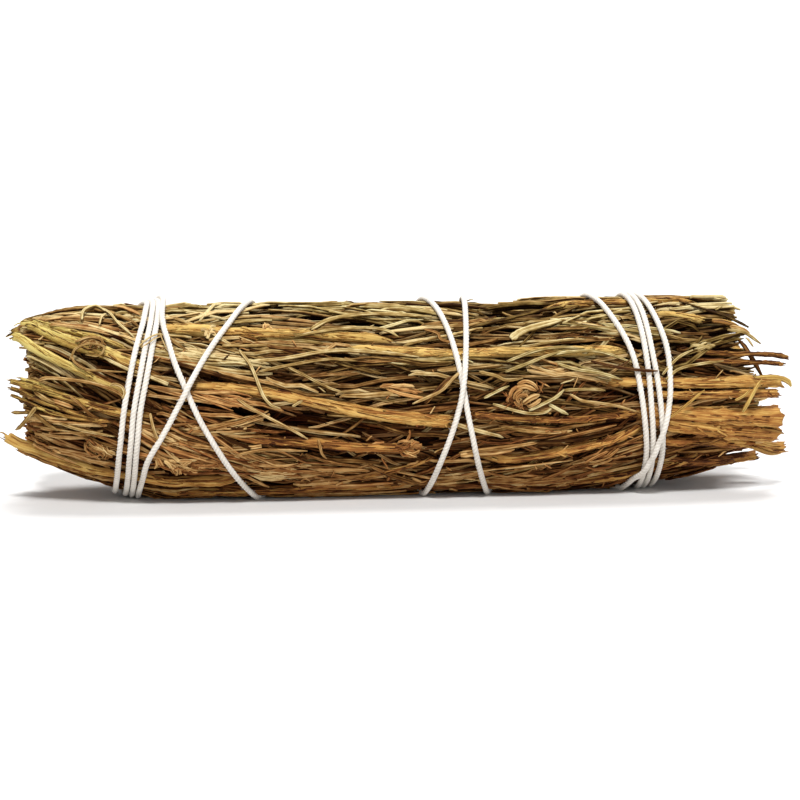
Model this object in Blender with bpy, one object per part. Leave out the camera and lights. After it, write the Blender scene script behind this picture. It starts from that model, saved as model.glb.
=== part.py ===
"""A smudge stick: dried evergreen sprigs laid side by side, wound and tied with one cotton string.

Metres, +Z up. The bundle lies along X on the surface z = 0, and the origin is under its middle.
A place on the bundle is an x and a turn: turns are degrees round the bundle, 0 at the top, 90 at
the front (-Y), 180 underneath and 270 at the back. The sprigs share each cross-section between
them as cells, with a thin gap between neighbours, so they lie against each other but never cross.
"""

import math
import random
from collections import namedtuple

import bmesh
import bpy
import numpy as np
from mathutils import Vector

MM = 0.001
SPRIG_GAP = 0.60 * MM
STRING_DIAMETER = 1.50 * MM
STRING_CLEARANCE = 0.62 * MM
CROSSING_GAP = 0.12 * MM
HUMP_LENGTH = 4.0 * MM
FLOOR_CLEARANCE = 0.05 * MM

# x, lowest point, highest point and half width of the bundle, in millimetres. Where the lowest
# point is under 0 the belly is pressed flat on the surface.
PROFILE = (
    (-110, 17.0, 46.0, 16.5),
    (-105, 13.6, 48.2, 19.0),
    (-97, 10.0, 50.2, 22.0),
    (-88, 6.4, 51.6, 24.4),
    (-78, 2.6, 51.9, 26.4),
    (-65, -0.8, 52.0, 27.3),
    (-40, -1.6, 52.0, 27.6),
    (0, -1.6, 52.2, 27.8),
    (40, -1.6, 52.4, 27.8),
    (62, -0.4, 52.7, 27.2),
    (80, 3.0, 52.6, 26.2),
    (95, 6.0, 52.1, 24.4),
    (103, 7.2, 50.6, 22.0),
    (110, 8.6, 48.0, 19.0),
)
PROFILE_X, PROFILE_LOW, PROFILE_HIGH, PROFILE_HALF = np.array(PROFILE, float).T * MM

# The belly touches the surface on three flat pads, and is held up between them, where the string
# passes underneath: (x, height of the belly) in millimetres.
BELLY = (
    (-70, 2.9), (-66, 0.0), (-47, 0.0), (-44, 2.9), (-31, 2.9), (-28, 0.0),
    (-5, 0.0), (-2, 2.9), (30, 2.9), (33, 0.0), (52, 0.0), (55, 2.9),
)
BELLY_X, BELLY_Z = np.array(BELLY, float).T * MM
BELLY_TURNS = (150, 215)

# Sprigs. A course is the turn of a sprig's middle at each COURSE_X, in order round the bundle.
COURSE_X = np.array((-110, -90, -70, -40, 0, 40, 75, 110), float) * MM
Sprig = namedtuple("Sprig", "name stem_end leaves_from tip stem_radius course")
OUTER_SPRIGS = (
    Sprig("sprig_top_2", -106, -101, 99, 1.1, (-34, -26, -20, -18, -22, -24, -28, -30)),
    Sprig("sprig_top_3", 103, 95, -103, 1.2, (-20, -6, 10, 14, 14, 12, 4, 4)),
    Sprig("sprig_front_1", -105, -101, 99, 1.3, (-14, 18, 34, 41, 46, 40, 30, 32)),
    Sprig("sprig_front_2", 104, 96, -99, 1.3, (-9, 30, 44, 50, 56, 58, 56, 56)),
    Sprig("sprig_front_3", 106.5, 95, -98, 1.3, (-6, 38, 54, 62, 70, 75, 82, 84)),
    Sprig("sprig_front_4", 105.5, 94, -97, 1.3, (-3, 44, 59, 70, 86, 98, 92, 94)),
    Sprig("sprig_front_5", -104.5, -99.5, 80, 1.4, (1, 50, 64, 79, 96, 103, 96, 98)),
    Sprig("sprig_front_6", -107, -101, 79, 1.3, (18, 66, 88, 108, 115, 110, 99, 101)),
    Sprig("sprig_front_7", -108.5, -104, 80, 1.3, (76, 88, 100, 118, 123, 116, 102, 104)),
    Sprig("sprig_front_8", 109.2, 84, -102, 3.9, (100, 106, 116, 128, 131, 122, 109, 117)),
    Sprig("sprig_under_1", -110, -104, 86, 1.5, (139, 136, 137, 142, 141, 134, 124, 128)),
    Sprig("sprig_under_2", 102, 92, -101, 1.3, (156, 155, 155, 156, 152, 148, 138, 140)),
    Sprig("sprig_under_3", -105, -100, 97, 1.2, (176, 175, 174, 173, 170, 166, 158, 158)),
    Sprig("sprig_under_4", 104, 96, -102, 1.3, (198, 196, 194, 192, 189, 186, 182, 180)),
    Sprig("sprig_back_1", -107, -102, 97, 1.3, (222, 219, 216, 213, 209, 206, 205, 203)),
    Sprig("sprig_back_2", 107, 96, -101, 1.5, (246, 243, 239, 235, 230, 229, 228, 227)),
    Sprig("sprig_back_3", -106, -101, 98, 1.3, (268, 266, 262, 258, 253, 252, 252, 252)),
    Sprig("sprig_back_4", 105, 95, -103, 1.3, (290, 290, 286, 281, 278, 278, 278, 278)),
    Sprig("sprig_top_1", -108, -103, 99, 1.4, (308, 312, 312, 308, 304, 304, 304, 302)),
)
SKIN = 1.0
OUTER_DEPTH = 0.62
STATION_STEP = 14 * MM
STATION_END = 98 * MM
FROM_THE_ENDS = 3 * MM
CLOSEST_STATIONS = 1.2 * MM
TIP_TAPER = 16 * MM
TIP_SIZE = 0.30
NECK_SIZE = 0.8
COLLAR = 4.5 * MM
COLLAR_SHARE = 0.6
COLLAR_SWELL = 1.12
EDGE_DIP = 1.7 * MM
SHOULDER_DIP = 0.7 * MM
RIDGE_DIP = 0.25 * MM
DIP_SPREAD = 0.9 * MM
CUT_SLANT = 0.35
# A sprig's outline has five points across its outer side and two on its inner side.
OUTLINE = ((-1.0, 1), (-0.5, 1), (0.0, 1), (0.5, 1), (1.0, 1), (0.85, 0), (-0.85, 0))
EDGE_POINTS = ((4, 5), (0, 6))
STEM_TURNS = (-110, -55, 0, 55, 110, 155, -155)

# The sprigs inside twist a little along the bundle. Where each one ends is drawn between two x,
# in millimetres.
INNER_SPRIGS = 7
INNER_TOP = 0.565
INNER_DEPTH = 0.24
INNER_TWIST = 12 / (110 * MM)
INNER_STEM_ENDS = (98, 104)
INNER_LEAVES_FROM = (91, 96)
INNER_TIPS = (94, 99)
INNER_STEM_RADII = (1.1, 1.7)
# The middle sprig: x in millimetres and its reach as a share of the skin's, at both ends.
CENTRE_TIP = ((-92, 0.060),)
CENTRE_STEM = ((95, 0.070), (103, 0.060))
CENTRE_BODY = range(-78, 92, 14)
CENTRE_TOP = 0.185
CENTRE_THINNEST = 0.8

# The string's route: x in millimetres at each of ROUTE_TURNS, one row for each turn round the
# bundle. It is tied at the back near the left end, runs to the right end and comes back.
ROUTE_TURNS = (0, 30, 60, 90, 120, 150, 180, 225, 270, 315)
ROUTE_START = ((-60, -74.7), (-45, -73.3))
ROUTE = (
    (-69.2, -71.2, -74.8, -77.6, -78.8, -79.2, -79.0, -78.2, -75.4, -71.9),
    (-67.6, -69.2, -72.2, -75.0, -76.0, -76.3, -76.2, -75.9, -73.7, -70.2),
    (-66.0, -67.5, -70.3, -73.3, -74.3, -74.6, -74.5, -74.2, -72.0, -68.5),
    (-64.7, -66.5, -63.8, -58.0, -49.6, -40.6, -34.2, -21.0, -6.5, 7.2),
    (8.3, 10.9, 13.4, 15.5, 19.0, 23.5, 27.5, 36.5, 46.0, 54.0),
    (54.8, 57.8, 62.4, 64.5, 66.6, 67.3, 67.5, 67.2, 66.4, 65.5),
    (65.0, 65.5, 66.0, 66.8, 68.4, 69.2, 69.3, 69.1, 68.6, 67.8),
    (66.9, 67.3, 67.8, 69.5, 71.2, 71.5, 71.5, 71.2, 70.6, 69.8),
    (68.7, 70.2, 72.4, 72.3, 68.8, 63.2, 58.5, 47.0, 34.0, 21.5),
    (19.2, 17.4, 15.7, 13.2, 8.8, 5.8, 3.8, -8.0, -22.0, -36.5),
    (-41.0, -47.4, -56.5, -64.4, -71.4, -72.95, -72.9, -72.5),
)
ROUTE_END = ((270, -70.4), (282, -69.6), (290, -70.6), (300, -74.4))
SAMPLE = 1.5
ROUND_OFF = 15.0
POINT_EVERY = 15.0
HUMP_POINT_EVERY = 6.0
HALF_LAP = round(180 / SAMPLE)
LEAST_LIFT = 0.02 * MM
KNOT_PLACE = (-74.6 * MM, 302)
KNOT_RAISED = 0.9 * MM
KNOT_SIZE = Vector((2.3, 1.7, 1.9)) * MM
TAILS = (
    ((-74.7, 304), (-76.5, 309), (-78.6, 315), (-79.9, 322), (-80.2, 328)),
    ((-74.9, 300), (-77.3, 296), (-79.6, 290), (-81.6, 286), (-83.8, 284)),
)
TAIL_RISES = (1.3, 0.9, 0.2, 0.0, 0.0)

LEAF_COLOURS = ((0.20, 0.13, 0.055), (0.17, 0.125, 0.05), (0.24, 0.135, 0.06))
STRING_COLOUR = (0.84, 0.82, 0.77)


def section(x):
    """The centre height, half height and half width of the bundle at x."""
    low = np.interp(x, PROFILE_X, PROFILE_LOW)
    high = np.interp(x, PROFILE_X, PROFILE_HIGH)
    return (low + high) / 2, (high - low) / 2, np.interp(x, PROFILE_X, PROFILE_HALF)


def place(x, turn, reach, raised=0.0):
    """The point at x and turn: reach is 0 on the bundle's middle line and 1 on its skin."""
    centre, half_height, half_width = section(x)
    angle = math.radians(turn)
    y = -(half_width * reach + raised) * math.sin(angle)
    z = centre + (half_height * reach + raised) * math.cos(angle)
    return Vector((x, y, z))


def belly_height(x):
    return float(np.interp(x, BELLY_X, BELLY_Z))


def course_turn(course, x):
    return float(np.interp(x, COURSE_X, course))


def material(name, colour, roughness):
    """A plain Principled material."""
    made = bpy.data.materials.new(name)
    made.use_nodes = True
    shader = made.node_tree.nodes["Principled BSDF"]
    shader.inputs["Base Color"].default_value = (*colour, 1.0)
    shader.inputs["Roughness"].default_value = roughness
    shader.inputs["Metallic"].default_value = 0.0
    return made


def show(name, mesh, look):
    """Puts a mesh in the scene as one named sub-part."""
    mesh.name = name
    mesh.materials.clear()
    mesh.materials.append(look)
    mesh.shade_smooth()
    mesh.set_sharp_from_angle(angle=math.radians(40))
    made = bpy.data.objects.new(name, mesh)
    bpy.context.scene.collection.objects.link(made)
    return made


def loft(rings):
    """A closed body through rings of points: the end face is extruded from each ring to the next.

    The sides that face a neighbour are split along the same diagonal on every sprig, so that the
    two sides of a gap stay parallel.
    """
    shape = bmesh.new()
    cap = shape.faces.new([shape.verts.new(point) for point in rings[0]])
    rows = [list(cap.verts)]
    for ring in rings[1:]:
        grown = bmesh.ops.extrude_face_region(shape, geom=[cap])["geom"]
        if len(rows) > 1:
            shape.faces.remove(cap)
        cap = next(item for item in grown if isinstance(item, bmesh.types.BMFace))
        for vert, point in zip(cap.verts, ring):
            vert.co = point
        rows.append(list(cap.verts))
    for near, far in zip(rows, rows[1:]):
        for outer, inner in EDGE_POINTS:
            side = set(near[inner].link_faces) & set(far[outer].link_faces)
            bmesh.utils.face_split(side.pop(), near[inner], far[outer])
    bmesh.ops.recalc_face_normals(shape, faces=shape.faces)
    mesh = bpy.data.meshes.new("loft")
    shape.to_mesh(mesh)
    shape.free()
    return mesh


def cell_ring(x, cell, reach, size, dips):
    """A sprig's outline at x, filling its cell, or drawn in towards its middle by size.

    What would reach below the belly is pressed flat at the belly's height.
    """
    low, high = cell
    belly = belly_height(x)
    inner, outer = reach
    middle = (low + high) / 2
    heart = place(x, middle, (inner + outer) / 2)
    points = []
    for (across, on_skin), dip in zip(OUTLINE, dips):
        share = outer if on_skin else inner
        radius = share * section(x)[2]
        spread = (high - low) / 2 - math.degrees(SPRIG_GAP / 2 / radius)
        turn = middle + across * spread
        pressed = on_skin and outer == SKIN and size == 1.0 and place(x, turn, SKIN).z <= belly
        point = place(x, turn, share, -dip if on_skin else 0.0)
        point = heart + (point - heart) * size
        point.z = belly if pressed else max(point.z, belly)
        points.append(point)
    return points


def stem_ring(centre, turn, radius, slant=0.0):
    """A bare stem's round outline, with its cut end slanting along the stem."""
    points = []
    for step in STEM_TURNS:
        angle = math.radians(turn + step)
        offset = Vector((0, -math.sin(angle), math.cos(angle))) * radius
        offset.x = slant * offset.z
        points.append(centre + offset)
    return points


def dips_at(draw):
    """How far each point of an outline lies below the bundle's skin: rounded, and uneven."""
    edges = (EDGE_DIP, SHOULDER_DIP, RIDGE_DIP, SHOULDER_DIP, EDGE_DIP, 0.0, 0.0)
    return [dip + draw.random() * DIP_SPREAD if dip else 0.0 for dip in edges]


def stations(first, last, turns):
    """Where a sprig's outlines stand, from low x to high x, with the pads' ends underneath."""
    count = round(STATION_END / STATION_STEP)
    places = [step * STATION_STEP for step in range(-count, count + 1)]
    if any(BELLY_TURNS[0] < turn < BELLY_TURNS[1] for turn in turns):
        places += list(BELLY_X)
    low, high = min(first, last), max(first, last)
    inside = sorted(x for x in places if low + FROM_THE_ENDS < x < high - FROM_THE_ENDS)
    return [x for x, after in zip(inside, inside[1:] + [high]) if after - x > CLOSEST_STATIONS]


def sprig_rings(sprig, cell_at, reach, draw, every=1):
    """All of a sprig's outlines, from its leafy tip to its cut stem, ordered by x."""
    stem_end, leaves_from, tip = (value * MM for value in sprig[1:4])
    toward_stem = math.copysign(1.0, stem_end)
    radius = sprig.stem_radius * MM
    rings = {tip: cell_ring(tip, cell_at(tip), reach, TIP_SIZE, dips_at(draw))}
    body = stations(tip, leaves_from, sprig.course)[::every]
    for x in body + [leaves_from]:
        size = min(1.0, TIP_SIZE + (1 - TIP_SIZE) * abs(x - tip) / TIP_TAPER)
        if x == leaves_from:
            size *= NECK_SIZE
        rings[x] = cell_ring(x, cell_at(x), reach, size, dips_at(draw))
    collar_x = leaves_from + toward_stem * min(COLLAR, abs(stem_end - leaves_from) * COLLAR_SHARE)
    top = reach[1]
    cut_slant = CUT_SLANT * draw.choice((-1, 1))
    for x, swell, slant in ((collar_x, COLLAR_SWELL, 0.0), (stem_end, 1.0, cut_slant)):
        turn = sum(cell_at(x)) / 2
        centre = place(x, turn, top, -radius - RIDGE_DIP)
        rings[x] = stem_ring(centre, turn, radius * swell, slant)
    return [rings[x] for x in sorted(rings)]


def make_outer_sprigs(looks):
    """The sprigs round the outside. Each cell reaches half way to the neighbours' courses."""
    count = len(OUTER_SPRIGS)
    for index, sprig in enumerate(OUTER_SPRIGS):
        before = OUTER_SPRIGS[index - 1]
        after = OUTER_SPRIGS[(index + 1) % count]

        def cell_at(x):
            turn = course_turn(sprig.course, x)
            back = (turn - course_turn(before.course, x)) % 360
            ahead = (course_turn(after.course, x) - turn) % 360
            return turn - back / 2, turn + ahead / 2

        draw = random.Random(index + 1)
        rings = sprig_rings(sprig, cell_at, (OUTER_DEPTH, SKIN), draw)
        show(sprig.name, loft(rings), looks[index % len(looks)])


def make_inner_sprigs(looks):
    """The sprigs inside the bundle, which show at its two ends."""
    width = 360 / INNER_SPRIGS
    for index in range(INNER_SPRIGS):
        draw = random.Random(100 + index)
        side = -1 if index % 2 else 1
        course = [index * width + INNER_TWIST * x for x in COURSE_X]
        sprig = Sprig(
            f"sprig_inner_{index + 1}", side * draw.uniform(*INNER_STEM_ENDS),
            side * draw.uniform(*INNER_LEAVES_FROM), -side * draw.uniform(*INNER_TIPS),
            draw.uniform(*INNER_STEM_RADII), course,
        )

        def cell_at(x):
            turn = course_turn(course, x)
            return turn - width / 2, turn + width / 2

        rings = sprig_rings(sprig, cell_at, (INNER_DEPTH, INNER_TOP), draw, every=2)
        show(sprig.name, loft(rings), looks[index % len(looks)])


def make_centre_sprig(look):
    """The sprig in the middle: a slim rod of leaves with its cut stem at the right."""
    draw = random.Random(7)
    body = [(x, CENTRE_TOP * draw.uniform(CENTRE_THINNEST, 1.0)) for x in CENTRE_BODY]
    rings = []
    for x, reach in (*CENTRE_TIP, *body, *CENTRE_STEM):
        middle = place(x * MM, 0, 0.0)
        slant = CUT_SLANT if x == CENTRE_STEM[-1][0] else 0.0
        rings.append(stem_ring(middle, 0, reach * section(x * MM)[1], slant))
    show("sprig_centre", loft(rings), look)


def string_route():
    """The string's turns and x, every SAMPLE degrees, with the corners of the route rounded off."""
    turns = [turn for turn, x in ROUTE_START]
    places = [x for turn, x in ROUTE_START]
    for lap, row in enumerate(ROUTE):
        for turn, x in zip(ROUTE_TURNS, row):
            turns.append(360 * lap + turn)
            places.append(x)
    for turn, x in ROUTE_END:
        turns.append(360 * (len(ROUTE) - 1) + turn)
        places.append(x)
    fine = np.arange(turns[0], turns[-1] + SAMPLE / 2, SAMPLE)
    straight = np.interp(fine, turns, places) * MM
    half = round(ROUND_OFF / SAMPLE)
    window = np.hanning(2 * half + 1)
    padded = np.concatenate((np.full(half, straight[0]), straight, np.full(half, straight[-1])))
    smooth = np.convolve(padded, window / window.sum(), "valid")
    return fine, smooth


def string_points():
    """The string's middle line: on the skin, and humped where it passes over itself."""
    turns, places = string_route()
    base_height = STRING_DIAMETER / 2 + STRING_CLEARANCE
    base = np.array([place(x, turn, SKIN, base_height) for turn, x in zip(turns, places)])
    travelled = np.concatenate(([0.0], np.cumsum(np.linalg.norm(np.diff(base, axis=0), axis=1))))
    needed = np.zeros(len(base))
    apart = STRING_DIAMETER + CROSSING_GAP
    for index in range(HALF_LAP + 1, len(base)):
        earlier = base[: index - HALF_LAP]
        distance = np.linalg.norm(earlier - base[index], axis=1)
        near = distance < apart
        if near.any():
            rise = needed[: len(earlier)][near] + np.sqrt(apart**2 - distance[near] ** 2)
            needed[index] = rise.max()
    lift = needed.copy()
    for index in np.nonzero(needed)[0]:
        away = np.abs(travelled - travelled[index]) / HUMP_LENGTH
        hump = 0.5 * (1 + np.cos(np.pi * np.minimum(away, 1.0)))
        lift = np.maximum(lift, needed[index] * hump)
    points = []
    last = -360.0
    for index, (turn, x) in enumerate(zip(turns, places)):
        step = HUMP_POINT_EVERY if lift[index] > LEAST_LIFT else POINT_EVERY
        if turn - last < step and index != len(turns) - 1:
            continue
        last = turn
        point = place(x, turn, SKIN, base_height + lift[index])
        point.z = max(point.z, STRING_DIAMETER / 2 + FLOOR_CLEARANCE)
        points.append(point)
    return points


def tube_mesh(name, points):
    """A string run through points: a curve with a round bevel and filled ends, made a mesh."""
    curve = bpy.data.curves.new(name, "CURVE")
    curve.dimensions = "3D"
    curve.bevel_depth = STRING_DIAMETER / 2
    curve.bevel_resolution = 1
    curve.use_fill_caps = True
    run = curve.splines.new("POLY")
    run.points.add(len(points) - 1)
    for control, point in zip(run.points, points):
        control.co = (*point, 1.0)
    guide = bpy.data.objects.new(name, curve)
    bpy.context.scene.collection.objects.link(guide)
    graph = bpy.context.evaluated_depsgraph_get()
    mesh = bpy.data.meshes.new_from_object(guide.evaluated_get(graph))
    bpy.data.objects.remove(guide)
    shape = bmesh.new()
    shape.from_mesh(mesh)
    bmesh.ops.remove_doubles(shape, verts=shape.verts, dist=0.001 * MM)
    bmesh.ops.recalc_face_normals(shape, faces=shape.faces)
    shape.to_mesh(mesh)
    shape.free()
    return mesh


def helper(name, mesh):
    """An object that is only joined into the string."""
    made = bpy.data.objects.new(name, mesh)
    made.hide_render = True
    made.display_type = "WIRE"
    bpy.context.scene.collection.objects.link(made)
    return made


def make_knot_mesh():
    """The drawn-up knot: a small uneven ball on top of the windings."""
    shape = bmesh.new()
    bmesh.ops.create_icosphere(shape, subdivisions=2, radius=1.0)
    bmesh.ops.scale(shape, vec=KNOT_SIZE, verts=shape.verts)
    middle = place(*KNOT_PLACE, SKIN, STRING_DIAMETER + STRING_CLEARANCE + KNOT_RAISED)
    bmesh.ops.translate(shape, vec=middle, verts=shape.verts)
    mesh = bpy.data.meshes.new("knot")
    shape.to_mesh(mesh)
    shape.free()
    return mesh


def make_string(look):
    """The string: its whole winding, its knot and its two short tails, joined in one body."""
    string = show("binding_string", tube_mesh("winding", string_points()), look)
    joined = [helper("knot", make_knot_mesh())]
    height = STRING_DIAMETER / 2 + STRING_CLEARANCE
    for number, tail in enumerate(TAILS):
        points = [
            place(x * MM, turn, SKIN, height + rise * MM) for (x, turn), rise in zip(tail, TAIL_RISES)
        ]
        joined.append(helper(f"tail_{number + 1}", tube_mesh("tail", points)))
    for other in joined:
        union = string.modifiers.new(other.name, "BOOLEAN")
        union.operation = "UNION"
        union.solver = "EXACT"
        union.object = other


for leftover in list(bpy.data.objects):
    bpy.data.objects.remove(leftover, do_unlink=True)
leaf_looks = [material(f"leafy_sprig_{n}", colour, 0.75) for n, colour in enumerate(LEAF_COLOURS)]
make_outer_sprigs(leaf_looks)
make_inner_sprigs(leaf_looks)
make_centre_sprig(leaf_looks[0])
make_string(material("cotton_string", STRING_COLOUR, 0.85))
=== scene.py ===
# %% [markdown]
# # A smudge stick
#
# A smudge stick is a bundle of dried herb sprigs, laid side by side and wound with one cotton
# string. Each sprig is a woody stem with hundreds of stiff, narrow leaves, and the leaves are what
# the eye sees first: they lie nearly along the bundle, cross each other at small angles and leave
# dark gaps between them.
#
# The frame holds one plain solid for each sprig and one for the string. This lesson dresses each
# of them: it grows the leaves and stems of a sprig round its solid, joins them in one mesh, and
# lets that mesh stand for the solid. First the frame is loaded and its box is kept, so that the
# dressed bundle can be compared with it at the end.

import math
from collections import namedtuple

import bmesh
import bpy
import numpy as np
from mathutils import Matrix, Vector
from mathutils.kdtree import KDTree


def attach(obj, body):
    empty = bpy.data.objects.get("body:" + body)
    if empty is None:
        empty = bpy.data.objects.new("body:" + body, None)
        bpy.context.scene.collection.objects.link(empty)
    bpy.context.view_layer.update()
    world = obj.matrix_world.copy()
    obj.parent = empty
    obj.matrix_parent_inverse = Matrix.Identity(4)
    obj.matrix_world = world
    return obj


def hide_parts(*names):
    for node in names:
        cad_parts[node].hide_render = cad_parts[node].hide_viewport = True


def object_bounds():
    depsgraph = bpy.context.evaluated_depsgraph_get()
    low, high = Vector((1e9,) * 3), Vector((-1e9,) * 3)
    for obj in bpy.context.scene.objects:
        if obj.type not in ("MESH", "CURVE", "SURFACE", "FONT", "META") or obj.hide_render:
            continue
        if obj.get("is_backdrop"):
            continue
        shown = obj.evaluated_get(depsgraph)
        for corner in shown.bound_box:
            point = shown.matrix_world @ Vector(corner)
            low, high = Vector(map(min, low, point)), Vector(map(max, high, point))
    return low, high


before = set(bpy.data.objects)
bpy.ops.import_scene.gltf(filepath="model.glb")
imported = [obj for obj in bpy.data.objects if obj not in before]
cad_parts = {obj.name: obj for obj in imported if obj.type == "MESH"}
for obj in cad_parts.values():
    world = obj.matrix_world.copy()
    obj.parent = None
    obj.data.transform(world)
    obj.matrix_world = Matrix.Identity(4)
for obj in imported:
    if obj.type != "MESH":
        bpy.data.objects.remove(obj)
CAD_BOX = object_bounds()
MM = 0.001
print("the bundle is", [round(side / MM, 1) for side in CAD_BOX[1] - CAD_BOX[0]], "mm")

# %% [markdown]
# ## A place on the bundle
#
# Leaves, stems and string all follow the outside of the bundle, so it helps to give a place by
# three numbers: x along the bundle, a turn round it in degrees (0 on top, 90 at the front, 180
# underneath) and how far it is raised above the skin. The profile repeats the few sizes that the
# bundle was built from. All the functions work on whole arrays, because thousands of leaves are
# placed at once.

# %% Places on the skin
# x, lowest point, highest point and half width of the bundle, in millimetres
PROFILE = (
    (-110, 17.0, 46.0, 16.5), (-105, 13.6, 48.2, 19.0), (-97, 10.0, 50.2, 22.0),
    (-88, 6.4, 51.6, 24.4), (-78, 2.6, 51.9, 26.4), (-65, -0.8, 52.0, 27.3),
    (-40, -1.6, 52.0, 27.6), (0, -1.6, 52.2, 27.8), (40, -1.6, 52.4, 27.8),
    (62, -0.4, 52.7, 27.2), (80, 3.0, 52.6, 26.2), (95, 6.0, 52.1, 24.4),
    (103, 7.2, 50.6, 22.0), (110, 8.6, 48.0, 19.0),
)
PROFILE_X, PROFILE_LOW, PROFILE_HIGH, PROFILE_HALF = np.array(PROFILE, float).T * MM
FLOOR_CLEARANCE = 0.1 * MM


def section(x):
    """The centre height, half height and half width of the bundle at x."""
    low = np.interp(x, PROFILE_X, PROFILE_LOW)
    high = np.interp(x, PROFILE_X, PROFILE_HIGH)
    return (low + high) / 2, (high - low) / 2, np.interp(x, PROFILE_X, PROFILE_HALF)


def on_bundle(x, turn, raised=0.0):
    """Points at x and turn, raised above the skin, never below the surface it rests on."""
    x, turn, raised = np.broadcast_arrays(x, turn, raised)
    centre, half_height, half_width = section(x)
    angle = np.radians(turn)
    y = -(half_width + raised) * np.sin(angle)
    z = centre + (half_height + raised) * np.cos(angle)
    return np.stack((x, y, np.maximum(z, FLOOR_CLEARANCE)), axis=-1)


def outward(x, turn):
    """The direction that points straight out of the skin."""
    _, half_height, half_width = section(x)
    angle = np.radians(turn)
    out = np.stack((np.zeros_like(angle), -np.sin(angle) * half_height, np.cos(angle) * half_width), axis=-1)
    return out / np.linalg.norm(out, axis=-1, keepdims=True)


RADIUS = float(section(0.0)[2])
DEGREES_PER_METRE = math.degrees(1 / RADIUS)
top_of_skin = on_bundle(np.linspace(-0.1, 0.1, 41), 0.0)[:, 2].max()
print(f"the skin's top is {(CAD_BOX[1].z - top_of_skin) / MM:.1f} mm below the string's highest crossing")

# %% [markdown]
# ## The string's route
#
# The leaves have to dip under the string, so its route comes before them. It is the route that
# the frame's string follows, given again: x in millimetres at ten turns on each of its eleven
# laps. Straight lines between those points are rounded off with a sliding average, and the line is
# lifted over itself wherever two strands cross.

# %% Route of the string
STRING_DIAMETER = 1.50 * MM
STRING_CLEARANCE = 0.62 * MM
CROSSING_GAP = 0.12 * MM
HUMP_LENGTH = 4.0 * MM
ROUTE_TURNS = (0, 30, 60, 90, 120, 150, 180, 225, 270, 315)
ROUTE_START = ((-60, -74.7), (-45, -73.3))
ROUTE = (
    (-69.2, -71.2, -74.8, -77.6, -78.8, -79.2, -79.0, -78.2, -75.4, -71.9),
    (-67.6, -69.2, -72.2, -75.0, -76.0, -76.3, -76.2, -75.9, -73.7, -70.2),
    (-66.0, -67.5, -70.3, -73.3, -74.3, -74.6, -74.5, -74.2, -72.0, -68.5),
    (-64.7, -66.5, -63.8, -58.0, -49.6, -40.6, -34.2, -21.0, -6.5, 7.2),
    (8.3, 10.9, 13.4, 15.5, 19.0, 23.5, 27.5, 36.5, 46.0, 54.0),
    (54.8, 57.8, 62.4, 64.5, 66.6, 67.3, 67.5, 67.2, 66.4, 65.5),
    (65.0, 65.5, 66.0, 66.8, 68.4, 69.2, 69.3, 69.1, 68.6, 67.8),
    (66.9, 67.3, 67.8, 69.5, 71.2, 71.5, 71.5, 71.2, 70.6, 69.8),
    (68.7, 70.2, 72.4, 72.3, 68.8, 63.2, 58.5, 47.0, 34.0, 21.5),
    (19.2, 17.4, 15.7, 13.2, 8.8, 5.8, 3.8, -8.0, -22.0, -36.5),
    (-41.0, -47.4, -56.5, -64.4, -71.4, -72.95, -72.9, -72.5),
)
ROUTE_END = ((270, -70.4), (282, -69.6), (290, -70.6), (300, -74.4))
SAMPLE = 0.75
ROUND_OFF = 15.0


def smoothed(values, half):
    """Each value averaged with this many on both sides, the nearest counting most."""
    window = np.hanning(2 * half + 1)
    padded = np.concatenate((np.full(half, values[0]), values, np.full(half, values[-1])))
    return np.convolve(padded, window / window.sum(), "valid")


def string_route():
    """The string's turns and x, every SAMPLE degrees, with the corners of the route rounded off."""
    turns = [turn for turn, x in ROUTE_START]
    places = [x for turn, x in ROUTE_START]
    for lap, row in enumerate(ROUTE):
        for turn, x in zip(ROUTE_TURNS, row):
            turns.append(360 * lap + turn)
            places.append(x)
    for turn, x in ROUTE_END:
        turns.append(360 * (len(ROUTE) - 1) + turn)
        places.append(x)
    fine = np.arange(turns[0], turns[-1] + SAMPLE / 2, SAMPLE)
    return fine, smoothed(np.interp(fine, turns, places) * MM, round(ROUND_OFF / SAMPLE))


# %% Crossings of the string
def search_tree(points):
    """A tree that quickly finds which of the points lie near a place."""
    tree = KDTree(len(points))
    for index, point in enumerate(points):
        tree.insert(point, index)
    tree.balance()
    return tree


def travelled_along(line):
    """How far along a line each of its points is."""
    return np.concatenate(([0.0], np.cumsum(np.linalg.norm(np.diff(line, axis=0), axis=1))))


def crossing_lift(line):
    """How far each point of the line is lifted where it passes over an earlier strand."""
    apart = STRING_DIAMETER + CROSSING_GAP
    half_lap = round(180 / SAMPLE)
    tree = search_tree(line)
    needed = np.zeros(len(line))
    for index in range(half_lap, len(line)):
        for _, other, distance in tree.find_range(line[index], apart):
            if other < index - half_lap:
                rise = needed[other] + math.sqrt(apart**2 - distance**2)
                needed[index] = max(needed[index], rise)
    travelled = travelled_along(line)
    lift = needed.copy()
    for index in np.nonzero(needed)[0]:
        away = np.abs(travelled - travelled[index]) / HUMP_LENGTH
        lift = np.maximum(lift, needed[index] * 0.5 * (1 + np.cos(np.pi * np.minimum(away, 1.0))))
    return lift


STRING_TURNS, STRING_X = string_route()
STRING_RAISED = STRING_DIAMETER / 2 + STRING_CLEARANCE
flat_line = on_bundle(STRING_X, STRING_TURNS, STRING_RAISED)
STRING_LIFT = crossing_lift(flat_line)
STRING_LINE = on_bundle(STRING_X, STRING_TURNS, STRING_RAISED + STRING_LIFT)
STRING_LINE[:, 2] = np.maximum(STRING_LINE[:, 2], STRING_DIAMETER / 2 + FLOOR_CLEARANCE / 2)
print(f"the string is {travelled_along(STRING_LINE)[-1]:.2f} m long")
print(f"where it crosses itself it rises up to {STRING_LIFT.max() / MM:.1f} mm")

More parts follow.
